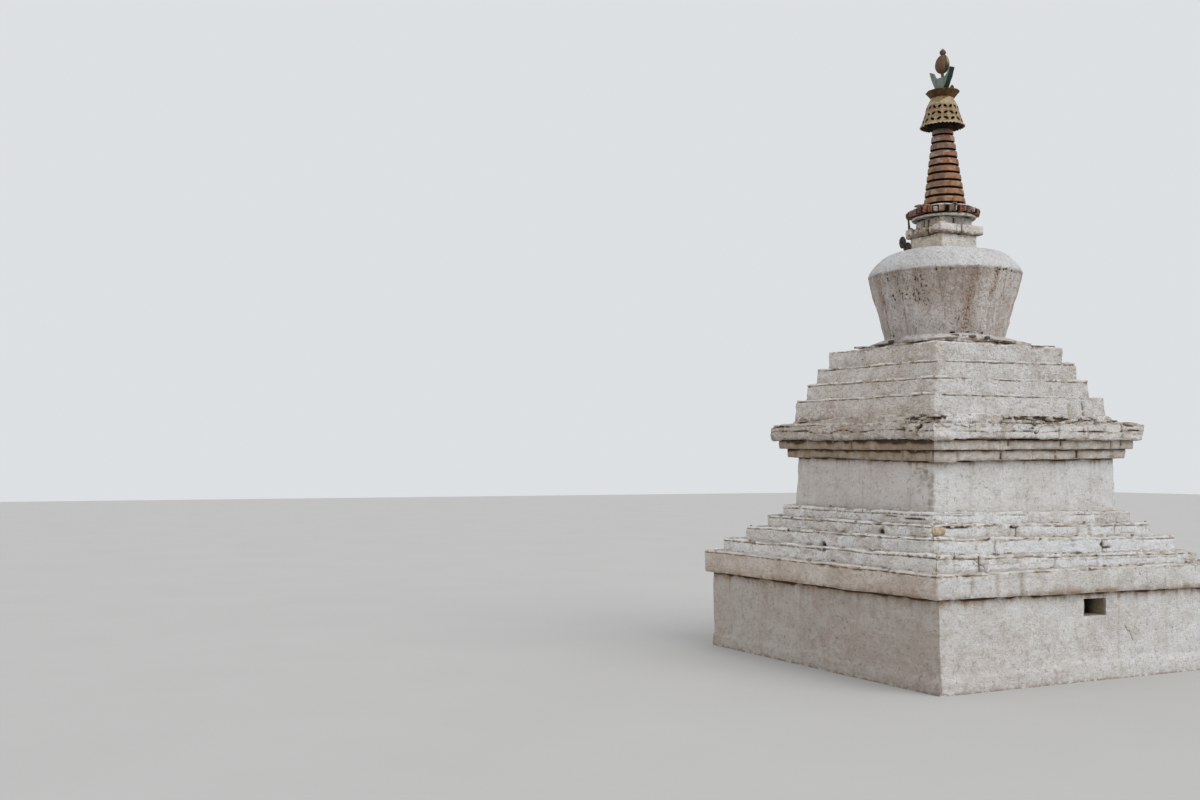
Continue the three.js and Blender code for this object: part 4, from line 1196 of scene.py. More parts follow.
def slate_bed():
    """A bed of thin slates under the dome, each set by hand over a square core."""
    low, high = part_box("dome_slates")
    core_half = 0.63
    x, y, _ = square_columns(core_half, 0.02, 0.02)
    rows, _, _ = square_rows(x, y, [core_half + 0.035, core_half + 0.030, core_half + 0.012, core_half],
                             [low.z - 0.01, low.z + 0.008, low.z + 0.018, high.z], 0.02)
    lumps = rough_noise(rows.reshape(-1, 3), 0.08, 402, 3).reshape(rows.shape[:2])
    rows[..., :2] *= (1 + 0.018 * lumps)[..., None]
    core = skin(rows)
    core.mark(lime=1.0)
    shapes = [core]
    rng = np.random.default_rng(401)
    for layer in range(2):
        z = high.z + 0.001 + 0.015 * layer
        for side in range(4):
            at = -0.62 + rng.uniform(0, 0.08)
            while at < 0.60:
                length = rng.uniform(0.07, 0.22)
                deep = rng.uniform(0.10, 0.15)
                stand = rng.uniform(-0.022, 0.026)
                middle = at + length / 2
                out = 0.632 + stand - deep / 2
                place = on_side(side, out, middle)
                turn = side * math.pi / 2 + rng.uniform(-0.06, 0.06)
                slate = block((deep, length * 0.93, rng.uniform(0.012, 0.023)),
                              (*place, z + rng.uniform(-0.006, 0.006)), turn, 0.004, int(rng.integers(1000)),
                              rough=0.007, tilt=rng.uniform(-0.09, 0.06))
                slate.mark(lime=1.0 if rng.uniform() < 0.38 else 0.25)
                if rng.uniform() < 0.9:
                    shapes.append(slate)
                at += length
    # Small dark stones at the dome's foot, and flat ones out on the step's right-hand corner.
    for bearing, reach, size, lift in (
            (-34, 0.628, (0.05, 0.07, 0.030), 0.060), (-26, 0.630, (0.04, 0.05, 0.022), 0.056),
            (-19, 0.630, (0.05, 0.075, 0.026), 0.056),
            (-4, 0.640, (0.04, 0.05, 0.03), 0.044), (5, 0.675, (0.07, 0.06, 0.024), 0.012),
            (15, 0.70, (0.07, 0.05, 0.022), 0.008), (24, 0.715, (0.06, 0.06, 0.018), 0.004),
            (-50, 0.69, (0.06, 0.08, 0.020), 0.026), (-66, 0.66, (0.05, 0.09, 0.018), 0.030),
            (-99, 0.63, (0.04, 0.06, 0.020), 0.044),
            (110, 0.64, (0.05, 0.06, 0.03), 0.05), (170, 0.65, (0.06, 0.06, 0.03), 0.05)):
        turn = math.radians(bearing)
        shapes.append(block(size, (*at_bearing(turn, reach), high.z + lift), turn,
                            0.008, 60 + bearing % 7,
                            rough=0.010, tilt=-0.1))
    for along, size in ((0.50, (0.07, 0.20, 0.012)), (0.67, (0.06, 0.13, 0.016)),
                        (0.76, (0.05, 0.08, 0.010))):
        flat = block(size, (0.765, along, low.z + size[2] / 2), 0.04, 0.004, 70 + int(along * 10),
                     rough=0.004)
        flat.points = leaned(flat.points, 0.813, low.z)
        shapes.append(flat)
    for shape in shapes:
        shape.marks.setdefault("lime", np.full(len(shape.points), 0.1))
    bed = join_all(shapes)
    # The bed thins out towards the right-hand corner.
    towards = smooth(bed.points[:, 0] + bed.points[:, 1], 0.75, 1.10)
    bed.points[:, 2] -= 0.018 * towards * (bed.points[:, 2] > low.z + 0.012)
    return bed


make("dome_slates_dressed", slate_bed(), SLATE, ["dome_slates"])


def skirt():
    """The mortar skirt, from a square foot to the dome's round foot."""
    low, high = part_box("dome_skirt")
    columns = 360
    cos, sin = circle(columns)
    reach = np.minimum(1 / np.maximum(np.abs(cos), np.abs(sin)), 1.34)
    rows = []
    for t in np.linspace(0, 1, 10):
        bulge = 0.010 * math.sin(math.pi * t)
        radius = (1 - t) * 0.612 * reach + t * 0.603 + bulge
        z = low.z + 0.012 + (high.z - low.z - 0.010) * t
        rows.append(np.stack([radius * cos, radius * sin, np.full(columns, z)], -1))
    rows.append(rows[-1] * np.array([0.95, 0.95, 1.0]))
    rows = np.array(rows)
    points = rows.reshape(-1, 3)
    away = points / np.linalg.norm(points[:, :2], axis=1, keepdims=True)
    away[:, 2] = 0.2
    out = 0.013 * rough_noise(points, 0.11, 411, 3) + 0.004 * rough_noise(points, 0.03, 412, 2)
    points = points + away * out[:, None]
    share = np.repeat(np.linspace(0, 1, len(rows)), columns)
    # Its upper edge lies lower towards the right-hand corner.
    points[:, 2] -= 0.026 * share * smooth(points[:, 0] + points[:, 1], 0.35, 0.75)
    ragged = smooth(noise(points, 0.12, 413), 0.0, 0.5)
    marks = {"edge": np.clip(1 - share * 4, 0, 1) * ragged, "bare": 0.6 * ragged * (share < 0.3),
             "foot": smooth(-share, -0.42, -0.22), "tone": np.full(len(points), 0.6)}
    return skin(points.reshape(rows.shape), **marks)


make("dome_skirt_dressed", skirt(), LIME_UPPER, ["dome_skirt"])


def bezier(*points):
    """Sixteen points on a curve from the first point to the third, bent towards the second."""
    a, b, c = (np.array(p) for p in points)
    t = np.linspace(0, 1, 16)[:, None]
    return (1 - t) ** 2 * a + 2 * t * (1 - t) * b + t ** 2 * c


def rounded(profile, step, passes):
    """A profile with its corners worn round, apart from its two ends."""
    points = np.array(resampled(profile, step))
    for _ in range(passes):
        points[1:-1] = points[1:-1] / 2 + (points[:-2] + points[2:]) / 4
    return [tuple(p) for p in points]


# Marks on the drum, at an angle in degrees from +X towards +Y and a share of the way up from its foot
# to its crease. Pits: angle, share, half-width and half-height in metres, how dark.
DOME_PITS = [(-89, 0.88, 0.010, 0.026, 1.0), (-86.5, 0.62, 0.012, 0.016, 0.9),
             (-85.5, 0.56, 0.011, 0.018, 0.8), (-80, 0.90, 0.014, 0.014, 0.5),
             (-76.5, 0.64, 0.011, 0.014, 1.0), (-72.5, 0.62, 0.014, 0.010, 1.0),
             (-77, 0.56, 0.008, 0.040, 0.6), (-77, 0.30, 0.008, 0.080, 0.55), (-79, 0.80, 0.008, 0.034, 0.5),
             (-65, 0.90, 0.008, 0.022, 0.7), (-68, 0.81, 0.009, 0.020, 0.6), (-66.5, 0.60, 0.008, 0.026, 0.8),
             (-65.5, 0.52, 0.010, 0.022, 0.7), (-62, 0.62, 0.010, 0.012, 1.0), (-62, 0.54, 0.008, 0.030, 0.6),
             (-59, 0.74, 0.008, 0.026, 0.8), (-58, 0.82, 0.013, 0.012, 0.6), (-55, 0.72, 0.010, 0.012, 0.7),
             (-57.5, 0.60, 0.008, 0.018, 0.6), (-61.5, 0.80, 0.009, 0.012, 0.6),
             (-46, 0.80, 0.010, 0.012, 0.5), (1.5, 0.90, 0.010, 0.016, 0.8), (12.5, 0.70, 0.008, 0.022, 0.7),
             (12, 0.58, 0.010, 0.012, 0.6), (-37, 0.95, 0.008, 0.018, 0.7), (-47, 0.96, 0.010, 0.018, 0.7),
             (3, 0.965, 0.018, 0.012, 0.9), (7, 0.975, 0.016, 0.012, 1.0), (10, 0.985, 0.014, 0.010, 0.9),
             (16.5, 0.975, 0.016, 0.011, 0.9), (150, 0.75, 0.010, 0.022, 0.8), (171, 0.6, 0.012, 0.016, 0.7),
             (96, 0.8, 0.010, 0.024, 0.8), (205, 0.85, 0.010, 0.02, 0.7), (-33.5, 0.01, 0.034, 0.012, 0.9),
             (-19, 0.01, 0.030, 0.012, 0.8), (-4, 0.01, 0.012, 0.018, 0.8), (-97, 0.01, 0.022, 0.012, 0.9)]
# Brown stains down the drum: angle at the crease and at the foot, half-width in degrees, strength,
# lowest and highest share.
DOME_STAINS = [
    (-17.5, -23.5, 4.6, 1.0, 0.0, 1.02), (0.5, -2.5, 2.2, 0.9, 0.55, 1.0), (-98, -108, 4.5, 0.75, 0.5, 1.0),
    (-99, -102, 1.1, 0.9, 0.0, 0.8), (-44.5, -43, 3.0, 0.55, 0.62, 1.0), (-27, -27, 2.5, 0.5, 0.55, 1.0),
    (-75, -76, 9.0, 0.35, 0.6, 1.0), (-63, -60, 6.0, 0.4, 0.45, 1.0), (11, 13, 1.0, 0.6, 0.35, 1.0),
    (40, 40, 3.0, 0.7, 0.3, 1.0), (75, 77, 2.5, 0.8, 0.1, 1.0), (118, 116, 3.5, 0.8, 0.2, 1.0),
    (160, 163, 3.0, 0.9, 0.1, 1.0), (205, 204, 3.0, 0.7, 0.3, 1.0), (235, 232, 2.5, 0.7, 0.4, 1.0)]


def scattered_pits():
    """Many small pits and slits between the known ones, at the drum's left, and a few elsewhere."""
    rng = np.random.default_rng(77)
    pits = []
    for low, high, floor, top, count in ((-92, -54, 0.42, 0.96, 70), (-104, -94, 0.2, 0.9, 8),
                                         (-50, 40, 0.1, 0.98, 34),
                                         (60, 250, 0.2, 0.95, 70)):
        for _ in range(count):
            upright = rng.uniform() < 0.6
            wide = rng.uniform(0.004, 0.008)
            tall = wide * (rng.uniform(1.8, 3.6) if upright else rng.uniform(0.8, 1.3))
            pits.append((rng.uniform(low, high), rng.uniform(floor, top), wide, tall, rng.uniform(0.35, 0.9)))
    return pits


DOME_PITS += scattered_pits()


def drum_marks(points):
    """How dark each point is with pits, how brown with stains, and how deep its pit is."""
    angle = np.degrees(np.arctan2(points[:, 1], points[:, 0]))
    reach = np.linalg.norm(points[:, :2], axis=1)
    share = (points[:, 2] - DOME_FOOT) / DOME_CREASE
    dark = np.zeros(len(points))
    brown = np.zeros(len(points))
    ragged = rough_noise(points, 0.018, 440, 2)
    for at, level, wide, tall, strength in DOME_PITS:
        off = np.radians((angle - at + 180) % 360 - 180) * reach / wide
        up = (share - level) * DOME_CREASE / tall
        near = np.sqrt(off ** 2 + up ** 2) + 0.25 * ragged
        dark = np.maximum(dark, strength * smooth(-near, -1.25, -0.55))
    for at_crease, at_foot, wide, strength, low, high in DOME_STAINS:
        at = at_foot + (at_crease - at_foot) * share
        off = (angle - at + 180) % 360 - 180 + 0.9 * noise(points, 0.06, 441)
        band = np.exp(-(off / wide) ** 2) * smooth(share, low - 0.12, low + 0.12) * (share <= high)
        brown = np.maximum(brown, strength * band)
    return dark, brown


def dome():
    """The drum that widens upwards and its rounded shoulder."""
    drum = resampled([(0.590, -0.04), (0.597, 0.0), (0.757, 0.625)], 0.012)
    profile = list(drum) + [(0.7605, 0.634)] + rounded(DOME_SHOULDER, 0.010, 12)[1:]
    profile += resampled([(0.306, 0.897), (0.15, 0.897)], 0.03)[1:]
    points, normals, shape = lathe(profile, 440, foot=DOME_FOOT)
    z = points[:, 2] - DOME_FOOT
    drum_part = smooth(z, 0.64, 0.62)
    # The drum is drawn in a little half-way up.
    out = -0.011 * smooth(z, 0.10, 0.28) * smooth(z, 0.50, 0.32)
    out += 0.006 * rough_noise(points, 0.45, 421, 2)
    out += 0.0035 * rough_noise(points, (0.07, 0.07, 0.18), 422, 2) * (0.5 + 0.5 * drum_part)
    out += 0.0042 * rough_noise(points, 0.045, 423, 3)
    from_crease = np.abs(z - 0.634)
    ragged = rough_noise(points, 0.08, 424, 3)
    out -= 0.007 * np.exp(-from_crease / 0.012) * np.clip(0.5 + ragged, 0, 1.5)
    # Upright pits and slits where the plaster has weathered: known ones, and faint ones between.
    faint = smooth(noise(points, (0.016, 0.016, 0.040), 425), 0.55, 0.75)
    faint *= smooth(noise(points, 0.30, 426), -0.1, 0.5) * drum_part * smooth(z, 0.10, 0.35)
    dark, brown = drum_marks(points)
    cavity = np.maximum(dark, 0.55 * faint)
    out -= 0.010 * dark + 0.004 * faint
    line = np.exp(-((z - 0.620 - 0.005 * noise(points, 0.12, 427)) / 0.0065) ** 2)
    broken = smooth(noise(points, 0.06, 428), -0.45, 0.15)
    out -= 0.003 * line * broken
    marks = {"cavity": cavity, "edge": line * (0.35 + 0.65 * broken), "stain": brown}
    points = points + normals * out[:, None]
    # The whole body stands a little to the left, most at its foot.
    points = points - np.interp(z, [0.0, 0.35, 0.64, 0.90], [0.021, 0.016, 0.0115, 0.010])[:, None] * SIDEWAYS
    return skin(points.reshape(shape), **marks)


make("dome_dressed", dome(), DOME_PAINT, ["dome"], sharp=70)

# ---------------------------------------------------------------- the harmika

course("harmika_block", 0.230, HARMIKA, above=0.20, step=0.009, lip=0.006, corner=0.010, swell=0.003,
       rough=0.004, grit=0.002, wear=0.006, seed=41, lean=False, side_rough=1.8, chips=0.6, shift=-0.013)


def harmika_band():
    """The band: rough blocks with lime on them, set side by side over a core."""
    low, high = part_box("harmika_band")
    z0, tall = low.z, high.z - low.z
    x, y, _ = square_columns(0.235, 0.02, 0.01)
    rows, _, _ = square_rows(x, y, [0.235] * 4, [z0 + 0.004, z0 + 0.03, high.z - 0.03, high.z + 0.001], 0.01)
    core = skin(rows)
    # The core is painted dark as the shade behind the blocks.
    core.mark(cavity=0.8)
    shapes = [core]
    rng = np.random.default_rng(431)
    # Side by side: the share of the side at which each block starts, from the left seen from outside.
    sides = {0: (0.0, 0.37, 0.48), 3: (0.0, 0.165, 0.36, 0.61, 0.73), 1: (0.0, 0.25, 0.52, 0.78),
             2: (0.0, 0.22, 0.47, 0.73)}
    # The -Y side's stones: how far each stands out, how much lower its top is, and how bare it is.
    rough_stones = iter([(0.0, 0.0, 0.4), (-0.016, 0.012, 0.8), (-0.004, 0.006, 0.7), (-0.020, 0.018, 0.9),
                         (0.001, 0.0, 0.6)])
    for side, starts in sides.items():
        rough_side = side == 3
        for a, b in zip(starts, (*starts[1:], 1.0)):
            deep = rng.uniform(0.080, 0.095)
            gap = 0.016 if rough_side else 0.003
            known = next(rough_stones) if rough_side else None
            middle = (-1 + (a + b)) * 0.273
            length = (b - a) * 0.546 - gap
            stand = known[0] if known else rng.uniform(-0.003, 0.003)
            out = 0.276 + stand - deep / 2
            high_cut = known[1] if known else rng.uniform(0, 0.004)
            z = z0 + tall / 2 + rng.uniform(-0.003, 0.003) + (0.006 - high_cut / 3 if rough_side else 0.002)
            place = on_side(side, out, middle)
            one = block((deep, length, tall - high_cut), (*place, z),
                        side * math.pi / 2 + rng.uniform(-0.03, 0.03) * (3 if rough_side else 1),
                        0.024 if rough_side else 0.012, 440 + side * 10 + int(a * 10),
                        rough=0.016 if rough_side else 0.005, cuts=5, tilt=rng.uniform(-0.04, 0.04))
            # Painted shade along the lower part of each block, laid through its under, edge and foot marks.
            limit = z0 + (0.044 if rough_side else 0.032)
            under = smooth(limit - one.points[:, 2] + 0.012 * noise(one.points, 0.05, 434), 0.0, 0.020)
            one.marks.update(under=under, edge=0.9 * under, foot=under)
            one.mark(north=1.0 * rough_side)
            bareness = known[2] if known else 0.30
            one.marks["bare"] = bareness * smooth(noise(one.points, 0.05, 433), 0.15 - 0.6 * bareness, 0.5)
            # Painted shade at the ends of the blocks, by the joints between them, but not along the band's
            # corners.
            axis = 1 - side % 2
            across = one.points[:, axis]
            dark, start = (0.85, 0.80) if rough_side else (0.6, 0.90)
            ends = dark * smooth(np.abs(across - place[axis]) / (length / 2), start, 1.0)
            ends = ends * smooth(-np.abs(across), -0.250, -0.225)
            spots = smooth(rough_noise(one.points, 0.03, 436, 2), 0.1, 0.5)
            one.marks["cavity"] = ends + 0.6 * bareness * spots * rough_side
            shapes.append(one)
    return join_all(shapes)


make("harmika_band_dressed", aside(harmika_band(), -0.012), HARMIKA, ["harmika_band"])
course("harmika_neck", 0.198, HARMIKA, step=0.008, lip=0.005, swell=0.003, grit=0.002, wear=0.006, seed=45,
       lean=False, chips=0.6, shift=-0.010,
       joints=[
           (3, -0.078, 0.009, 0.016, 1.0), (3, -0.012, 0.013, 0.020, 1.0), (3, 0.115, 0.006, 0.012),
           (0, -0.045, 0.009, 0.016, 1.0), (0, 0.10, 0.005, 0.010), (1, 0.02, 0.007, 0.012),
           (2, -0.04, 0.007, 0.012)])


def round_plate(node, profile, columns, wobble, seed, underside_shade=0.0):
    """A round piece whose edge wanders in and out a little."""
    low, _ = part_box(node)
    points, normals, shape = lathe(profile, columns, foot=low.z)
    out = wobble * rough_noise(points, 0.16, seed, 3) + 0.25 * wobble * rough_noise(points, 0.03, seed + 1, 2)
    points = points + normals * out[:, None]
    points[:, 2] = np.maximum(points[:, 2], low.z - 0.006)
    edge = smooth(np.linalg.norm(points[:, :2], axis=1), profile[-2][0] - 0.03, profile[-2][0])
    # Painted shade on the faces that look down.
    under = underside_shade * smooth(-normals[:, 2], 0.5, 0.9)
    under = under * (0.75 + 0.35 * rough_noise(points, 0.07, seed + 2, 2))
    return skin(points.reshape(shape), edge=edge * 0.5, cavity=under)


PLATE_PAINT = simple_paint("plate_lime", [(0.56, 0.52, 0.46), (0.68, 0.64, 0.58), (0.34, 0.285, 0.23)],
                           [9.0, 40.0], 0.9)
plate_profile = resampled([(0.10, 0.001), (0.205, 0.001), (0.220, 0.005), (0.290, -0.002), (0.314, -0.005),
                           (0.322, 0.001),
                           (0.325, 0.010), (0.320, 0.020), (0.300, 0.029), (0.24, 0.035), (0.20, 0.037)],
                           0.010)
make("harmika_plate_dressed", aside(round_plate("harmika_plate", plate_profile, 170, 0.005, 501, 0.75),
                                    -0.012),
     PLATE_PAINT, ["harmika_plate"])

# The crown: bricks laid like spokes over the plate, some with lime on them.

def brick_paint():
    """Old red and tan bricks with lime on them, and painted shade in the gaps between them."""
    p = Paint("old_bricks", roughness=0.92, specular=0.2)
    middle = p.noise(22.0, 5, 0.62)
    fine = p.noise(90.0, 4, 0.65)
    p.colour = (0.095, 0.040, 0.027)
    p.lay((0.285, 0.100, 0.062), ("tone", 0.0, 1.0))
    p.lay((0.40, 0.20, 0.11), ("tone", 1.0, 1.6))
    p.lay((0.045, 0.018, 0.012), (middle, 0.46, 0.56), 0.75)
    p.lay((0.46, 0.30, 0.23), (fine, 0.55, 0.64), 0.55)
    p.lay((0.50, 0.45, 0.405), "lime", (middle, 0.34, 0.55))
    # Painted shade where the cavity mark is.
    p.lay((0.038, 0.020, 0.013), ("cavity", 0.3, 0.9))
    return p.done(p.add(middle, p.mul(fine, 0.6)), 0.7, 0.006)


# Bricks: angle and half-width in degrees, how far they stand back, their height, tone and lime.
CROWN_SHOWN = [(-132.0, 4.6, 0.004, 0.052, 0.9, 0.2), (-119.5, 4.8, 0.008, 0.054, 0.6, 0.1),
               (-106.0, 5.4, 0.002, 0.058, 1.1, 0.2), (-92.0, 4.9, 0.008, 0.062, 0.7, 0.2),
               (-80.6, 4.6, 0.000, 0.068, 0.5, 0.0), (-71.0, 4.2, 0.004, 0.068, 1.1, 0.1),
               (-62.0, 3.8, 0.002, 0.070, 1.2, 0.0), (-43.0, 5.2, 0.000, 0.066, 1.6, 0.2),
               (-27.0, 4.8, 0.012, 0.066, 0.2, 0.3), (-10.5, 4.6, 0.002, 0.064, 0.8, 0.0),
               (3.8, 3.6, 0.004, 0.058, 0.3, 0.1), (14.5, 3.6, 0.014, 0.050, 0.7, 0.2),
               (26.5, 4.2, 0.000, 0.052, 0.7, 0.2), (38.5, 4.4, 0.016, 0.050, 0.6, 0.1)]
# White mortar stands in the joints between some of them: angle and width.
CROWN_MORTAR = ((-53.0, 0.046), (-19.0, 0.020), (-1.2, 0.014), (9.2, 0.014), (20.2, 0.014), (32.0, 0.016),
                (44.5, 0.016), (101.0, 0.018), (160.0, 0.018))


def crown_bricks():
    """Bricks like spokes over a core painted dark as shade: the seen ones one by one, the rest evenly."""
    low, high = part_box("brick_crown")
    rim = 0.374
    core, _ = lathe_rows(resampled([(0.05, 0.0), (0.290, 0.0), (0.290, high.z - low.z),
                                    (0.05, high.z - low.z)], 0.03), 60, foot=low.z)
    core = skin(core)
    # The core is painted black as the shade between the bricks.
    core.marks = {"tone": np.full(len(core.points), 0.1), "cavity": np.full(len(core.points), 1.0)}
    shapes = [core]
    rng = np.random.default_rng(511)
    bricks = list(CROWN_SHOWN)
    at = 51.0
    while at < 220.0:
        bricks.append((at, 5.3 + rng.uniform(-0.4, 0.3), rng.uniform(0, 0.012), rng.uniform(0.064, 0.073),
                       rng.uniform(0, 1), 0.9 if rng.uniform() < 0.25 else 0.1))
        at += 11.9
    for k, (bearing, half, back, tall, tone, lime) in enumerate(bricks):
        angle = math.radians(bearing)
        length = 0.150
        wide = 2 * math.radians(half) * rim * 0.89
        centre = rim - 0.003 - back - length / 2
        lift = (high.z - low.z - tall) * rng.uniform(0.2, 0.8) * (tall > 0.065)
        place = (*at_bearing(angle, centre), low.z + tall / 2 + lift)
        one = block((length, wide, tall), place, angle + rng.uniform(-0.05, 0.05), 0.014,
                    520 + k, rough=0.011, taper=0.10, cuts=5, tilt=rng.uniform(-0.16, -0.06))
        one.points[:, 2] = np.clip(one.points[:, 2], low.z - 0.013, high.z + 0.004)
        one.mark(tone=tone, lime=lime)
        # Painted shade on each brick's sides, towards its neighbours.
        aslant = np.abs((one.points[:, 1] - place[1]) * math.cos(angle)
                        - (one.points[:, 0] - place[0]) * math.sin(angle))
        one.marks["cavity"] = 0.95 * smooth(aslant / (wide / 2), 0.68, 0.98)
        shapes.append(one)
    for bearing, wide in CROWN_MORTAR:
        angle = math.radians(bearing)
        one = block((0.12, wide, 0.050), (*at_bearing(angle, rim - 0.078), low.z + 0.030), angle, 0.006,
                    580 + int(bearing) % 9, rough=0.006)
        one.mark(lime=1.6)
        shapes.append(one)
    return join_all(shapes)


make("crown_bricks_dressed", aside(crown_bricks(), -0.019), brick_paint(), ["brick_crown"])

mortar_profile = resampled([(0.10, -0.004), (0.300, -0.004), (0.290, 0.004), (0.245, 0.015), (0.20, 0.019),
                            (0.10, 0.020)], 0.010)
mortar = aside(round_plate("crown_mortar", mortar_profile, 180, 0.008, 531), -0.015)
uncovered = smooth(-np.linalg.norm(mortar.points[:, :2], axis=1), -0.262, -0.238)
mortar.marks["cavity"] = 0.8 * uncovered * smooth(rough_noise(mortar.points, 0.06, 534, 2), -0.75, -0.1)
# A dark slab lies half in the mortar at the left, and small stones beside it.
crown_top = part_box("crown_mortar")[0].z
for bearing, size, lift in ((-97, (0.10, 0.085, 0.022), 0.014), (-80, (0.07, 0.05, 0.02), 0.012),
                            (-22, (0.05, 0.045, 0.018), 0.010), (65, (0.06, 0.05, 0.02), 0.012)):
    turn = math.radians(bearing)
    stone = block(size, (*at_bearing(turn, 0.285), crown_top + lift), turn, 0.006, 533, rough=0.004)
    stone.mark(bare=1.0, cavity=0.45)
    mortar = mortar.joined(stone)
make("crown_mortar_dressed", mortar, HARMIKA, ["crown_mortar"])

# ---------------------------------------------------------------- the spire


def ring_paint():
    """Worn paint on old wood: tan low on the spire and redder above, painted black as shade inside the bell.
    """
    p = Paint("ring_wood", roughness=0.85, specular=0.2)
    around = p.noise(5.0, 4, 0.6, stretch=(1.0, 1.0, 0.6))
    grain = p.noise(1.0, 5, 0.65, stretch=(9.0, 9.0, 120.0))
    patch = p.noise(16.0, 4, 0.6, distort=0.6)
    fine = p.noise(120.0, 3, 0.6)
    tan = p.mix((around, 0.44, 0.56), (0.42, 0.205, 0.085), (0.27, 0.155, 0.09))
    red = p.mix((around, 0.44, 0.56), (0.33, 0.115, 0.060), (0.27, 0.165, 0.125))
    up = p.ramp(p.axis("Z"), 4.80, 5.15)
    p.colour = tan
    p.lay(red, up)
    p.lay((0.44, 0.335, 0.265), (patch, 0.50, 0.58), 0.7)
    p.lay((0.15, 0.065, 0.036), (p.noise(11.0, 4, 0.6, shift=(3.0, 1.0, 2.0)), 0.52, 0.60), 0.7)
    p.lay((0.14, 0.085, 0.06), (grain, 0.50, 0.66), 0.55)
    p.lay((0.19, 0.13, 0.10), ("tone", -0.2, 1.0), 0.35)
    p.lay((0.10, 0.07, 0.055), (fine, 0.55, 0.70), 0.3)
    # Painted shade in the gaps between the rings.
    p.lay((0.016, 0.011, 0.009), ("cavity", 0.2, 0.8))
    # The part inside the bell is painted black as the bell's shade.
    p.lay((0.022, 0.014, 0.010), (p.axis("Z"), 5.315, 5.350))
    return p.done(p.add(grain, p.mul(patch, 0.6)), 0.7, 0.006)


RING_PAINT = ring_paint()


def spire_ring(number):
    """One ring of the spire, counted from below."""
    node = f"spire_ring_{number:02d}"
    low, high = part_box(node)
    radius = 0.209 - 0.01135 * (number - 1)
    bore = 0.0303
    tall = high.z - low.z
    foot = 0.024
    profile = [(bore, 0.0), (0.78 * radius, 0.0), (0.78 * radius, foot), (0.965 * radius, foot - 0.001),
               (0.996 * radius, foot + 0.001), (1.0 * radius, foot + 0.006), (0.985 * radius, foot + 0.030),
               (0.968 * radius, tall - 0.007), (0.952 * radius, tall - 0.001), (0.93 * radius, tall),
               (bore, tall)]
    profile = resampled(profile, 0.010)
    points, normals, shape = lathe(profile, 112, foot=low.z)
    reach = np.linalg.norm(points[:, :2], axis=1)
    z = points[:, 2] - low.z
    outer = smooth(reach, 0.86 * radius, 0.93 * radius)
    out = outer * (0.0016 * rough_noise(points, 0.09, 600 + number, 2)
                   + 0.0006 * rough_noise(points, 0.02, 620 + number, 2))
    lower_edge = np.exp(-np.abs(z - foot - 0.003) / 0.005) * outer
    out -= 0.007 * lower_edge * smooth(rough_noise(points, 0.035, 640 + number, 2), 0.30, 0.8)
    points = points + normals * out[:, None]
    points[:, 2] = np.clip(points[:, 2], low.z, high.z)
    # Painted shade on the narrow foot, in the gap over the ring below.
    cavity = (reach < 0.985 * radius) * (z < foot + 0.0015) * 1.0
    tone = np.full(len(points), hashed(np.array([number]), np.array([0]), np.array([0]), 7)[0] * 2 - 1)
    ring = skin(points.reshape(shape), ring=True, cavity=cavity, tone=tone)
    # The rings lean a little to the left going up.
    ring = aside(ring, -0.015 * (number - 1) / 12)
    return make(node + "_dressed", ring, RING_PAINT, [node], sharp=50)


RINGS = 13
for number in range(1, RINGS + 1):
    spire_ring(number)

TIMBER = simple_paint("old_timber", [(0.10, 0.075, 0.055), (0.16, 0.125, 0.095), (0.06, 0.045, 0.035)],
                      [9.0, 40.0], 0.9, stretch=(4.0, 4.0, 1.0))
mast = bpy.data.objects["spire_mast"]
mast.data.materials.clear()
mast.data.materials.append(TIMBER)


# ---------------------------------------------------------------- bell and saucer

def gilding_paint(name, base, light, dark, roughness=0.62, metallic=0.25):
    """Worn metal: a base colour with lighter and darker places."""
    p = Paint(name, roughness=roughness, metallic=metallic, specular=0.2)
    wide = p.noise(11.0, 4, 0.6)
    middle = p.noise(28.0, 5, 0.62)
    fine = p.noise(110.0, 4, 0.65)
    p.colour = base
    p.lay(light, (wide, 0.40, 0.62))
    p.lay(dark, (middle, 0.48, 0.64), 0.7)
    p.lay(tuple(0.45 * c for c in dark), (fine, 0.54, 0.70), 0.45)
    # Lighter on the raised relief, as a painted highlight.
    p.lay(light, "raised", 0.5)
    # Painted shade in hollows: inside the bell and its holes, and in a broken place on the saucer.
    p.lay((0.024, 0.012, 0.009), ("cavity", 0.1, 0.8))
    return p.done(p.add(middle, p.mul(fine, 0.5)), 0.7, 0.005)


GILT = gilding_paint("worn_gilding", (0.34, 0.215, 0.105), (0.52, 0.405, 0.265), (0.16, 0.095, 0.050), 0.7,
                     0.1)
GILT_DARK = gilding_paint("saucer_gilding", (0.072, 0.035, 0.009), (0.120, 0.066, 0.022),
                          (0.034, 0.018, 0.007), 0.75, 0.0)

BELL_CELLS = 18
BELL_PROFILE = [(0.0, 0.226), (0.014, 0.2165), (0.036, 0.206), (0.072, 0.194), (0.112, 0.1795),
                (0.152, 0.167),
                (0.211, 0.153), (0.240, 0.142), (0.270, 0.128), (0.291, 0.115), (0.302, 0.114)]
BELL_WALL = 0.009
BELL_ROWS = [(0.026, 0.084, 0), (0.092, 0.146, 1), (0.160, 0.218, 0)]


def bell_radius(z):
    """The bell's outer radius at a height over its rim."""
    heights, radii = zip(*BELL_PROFILE)
    return np.interp(z, heights, radii)


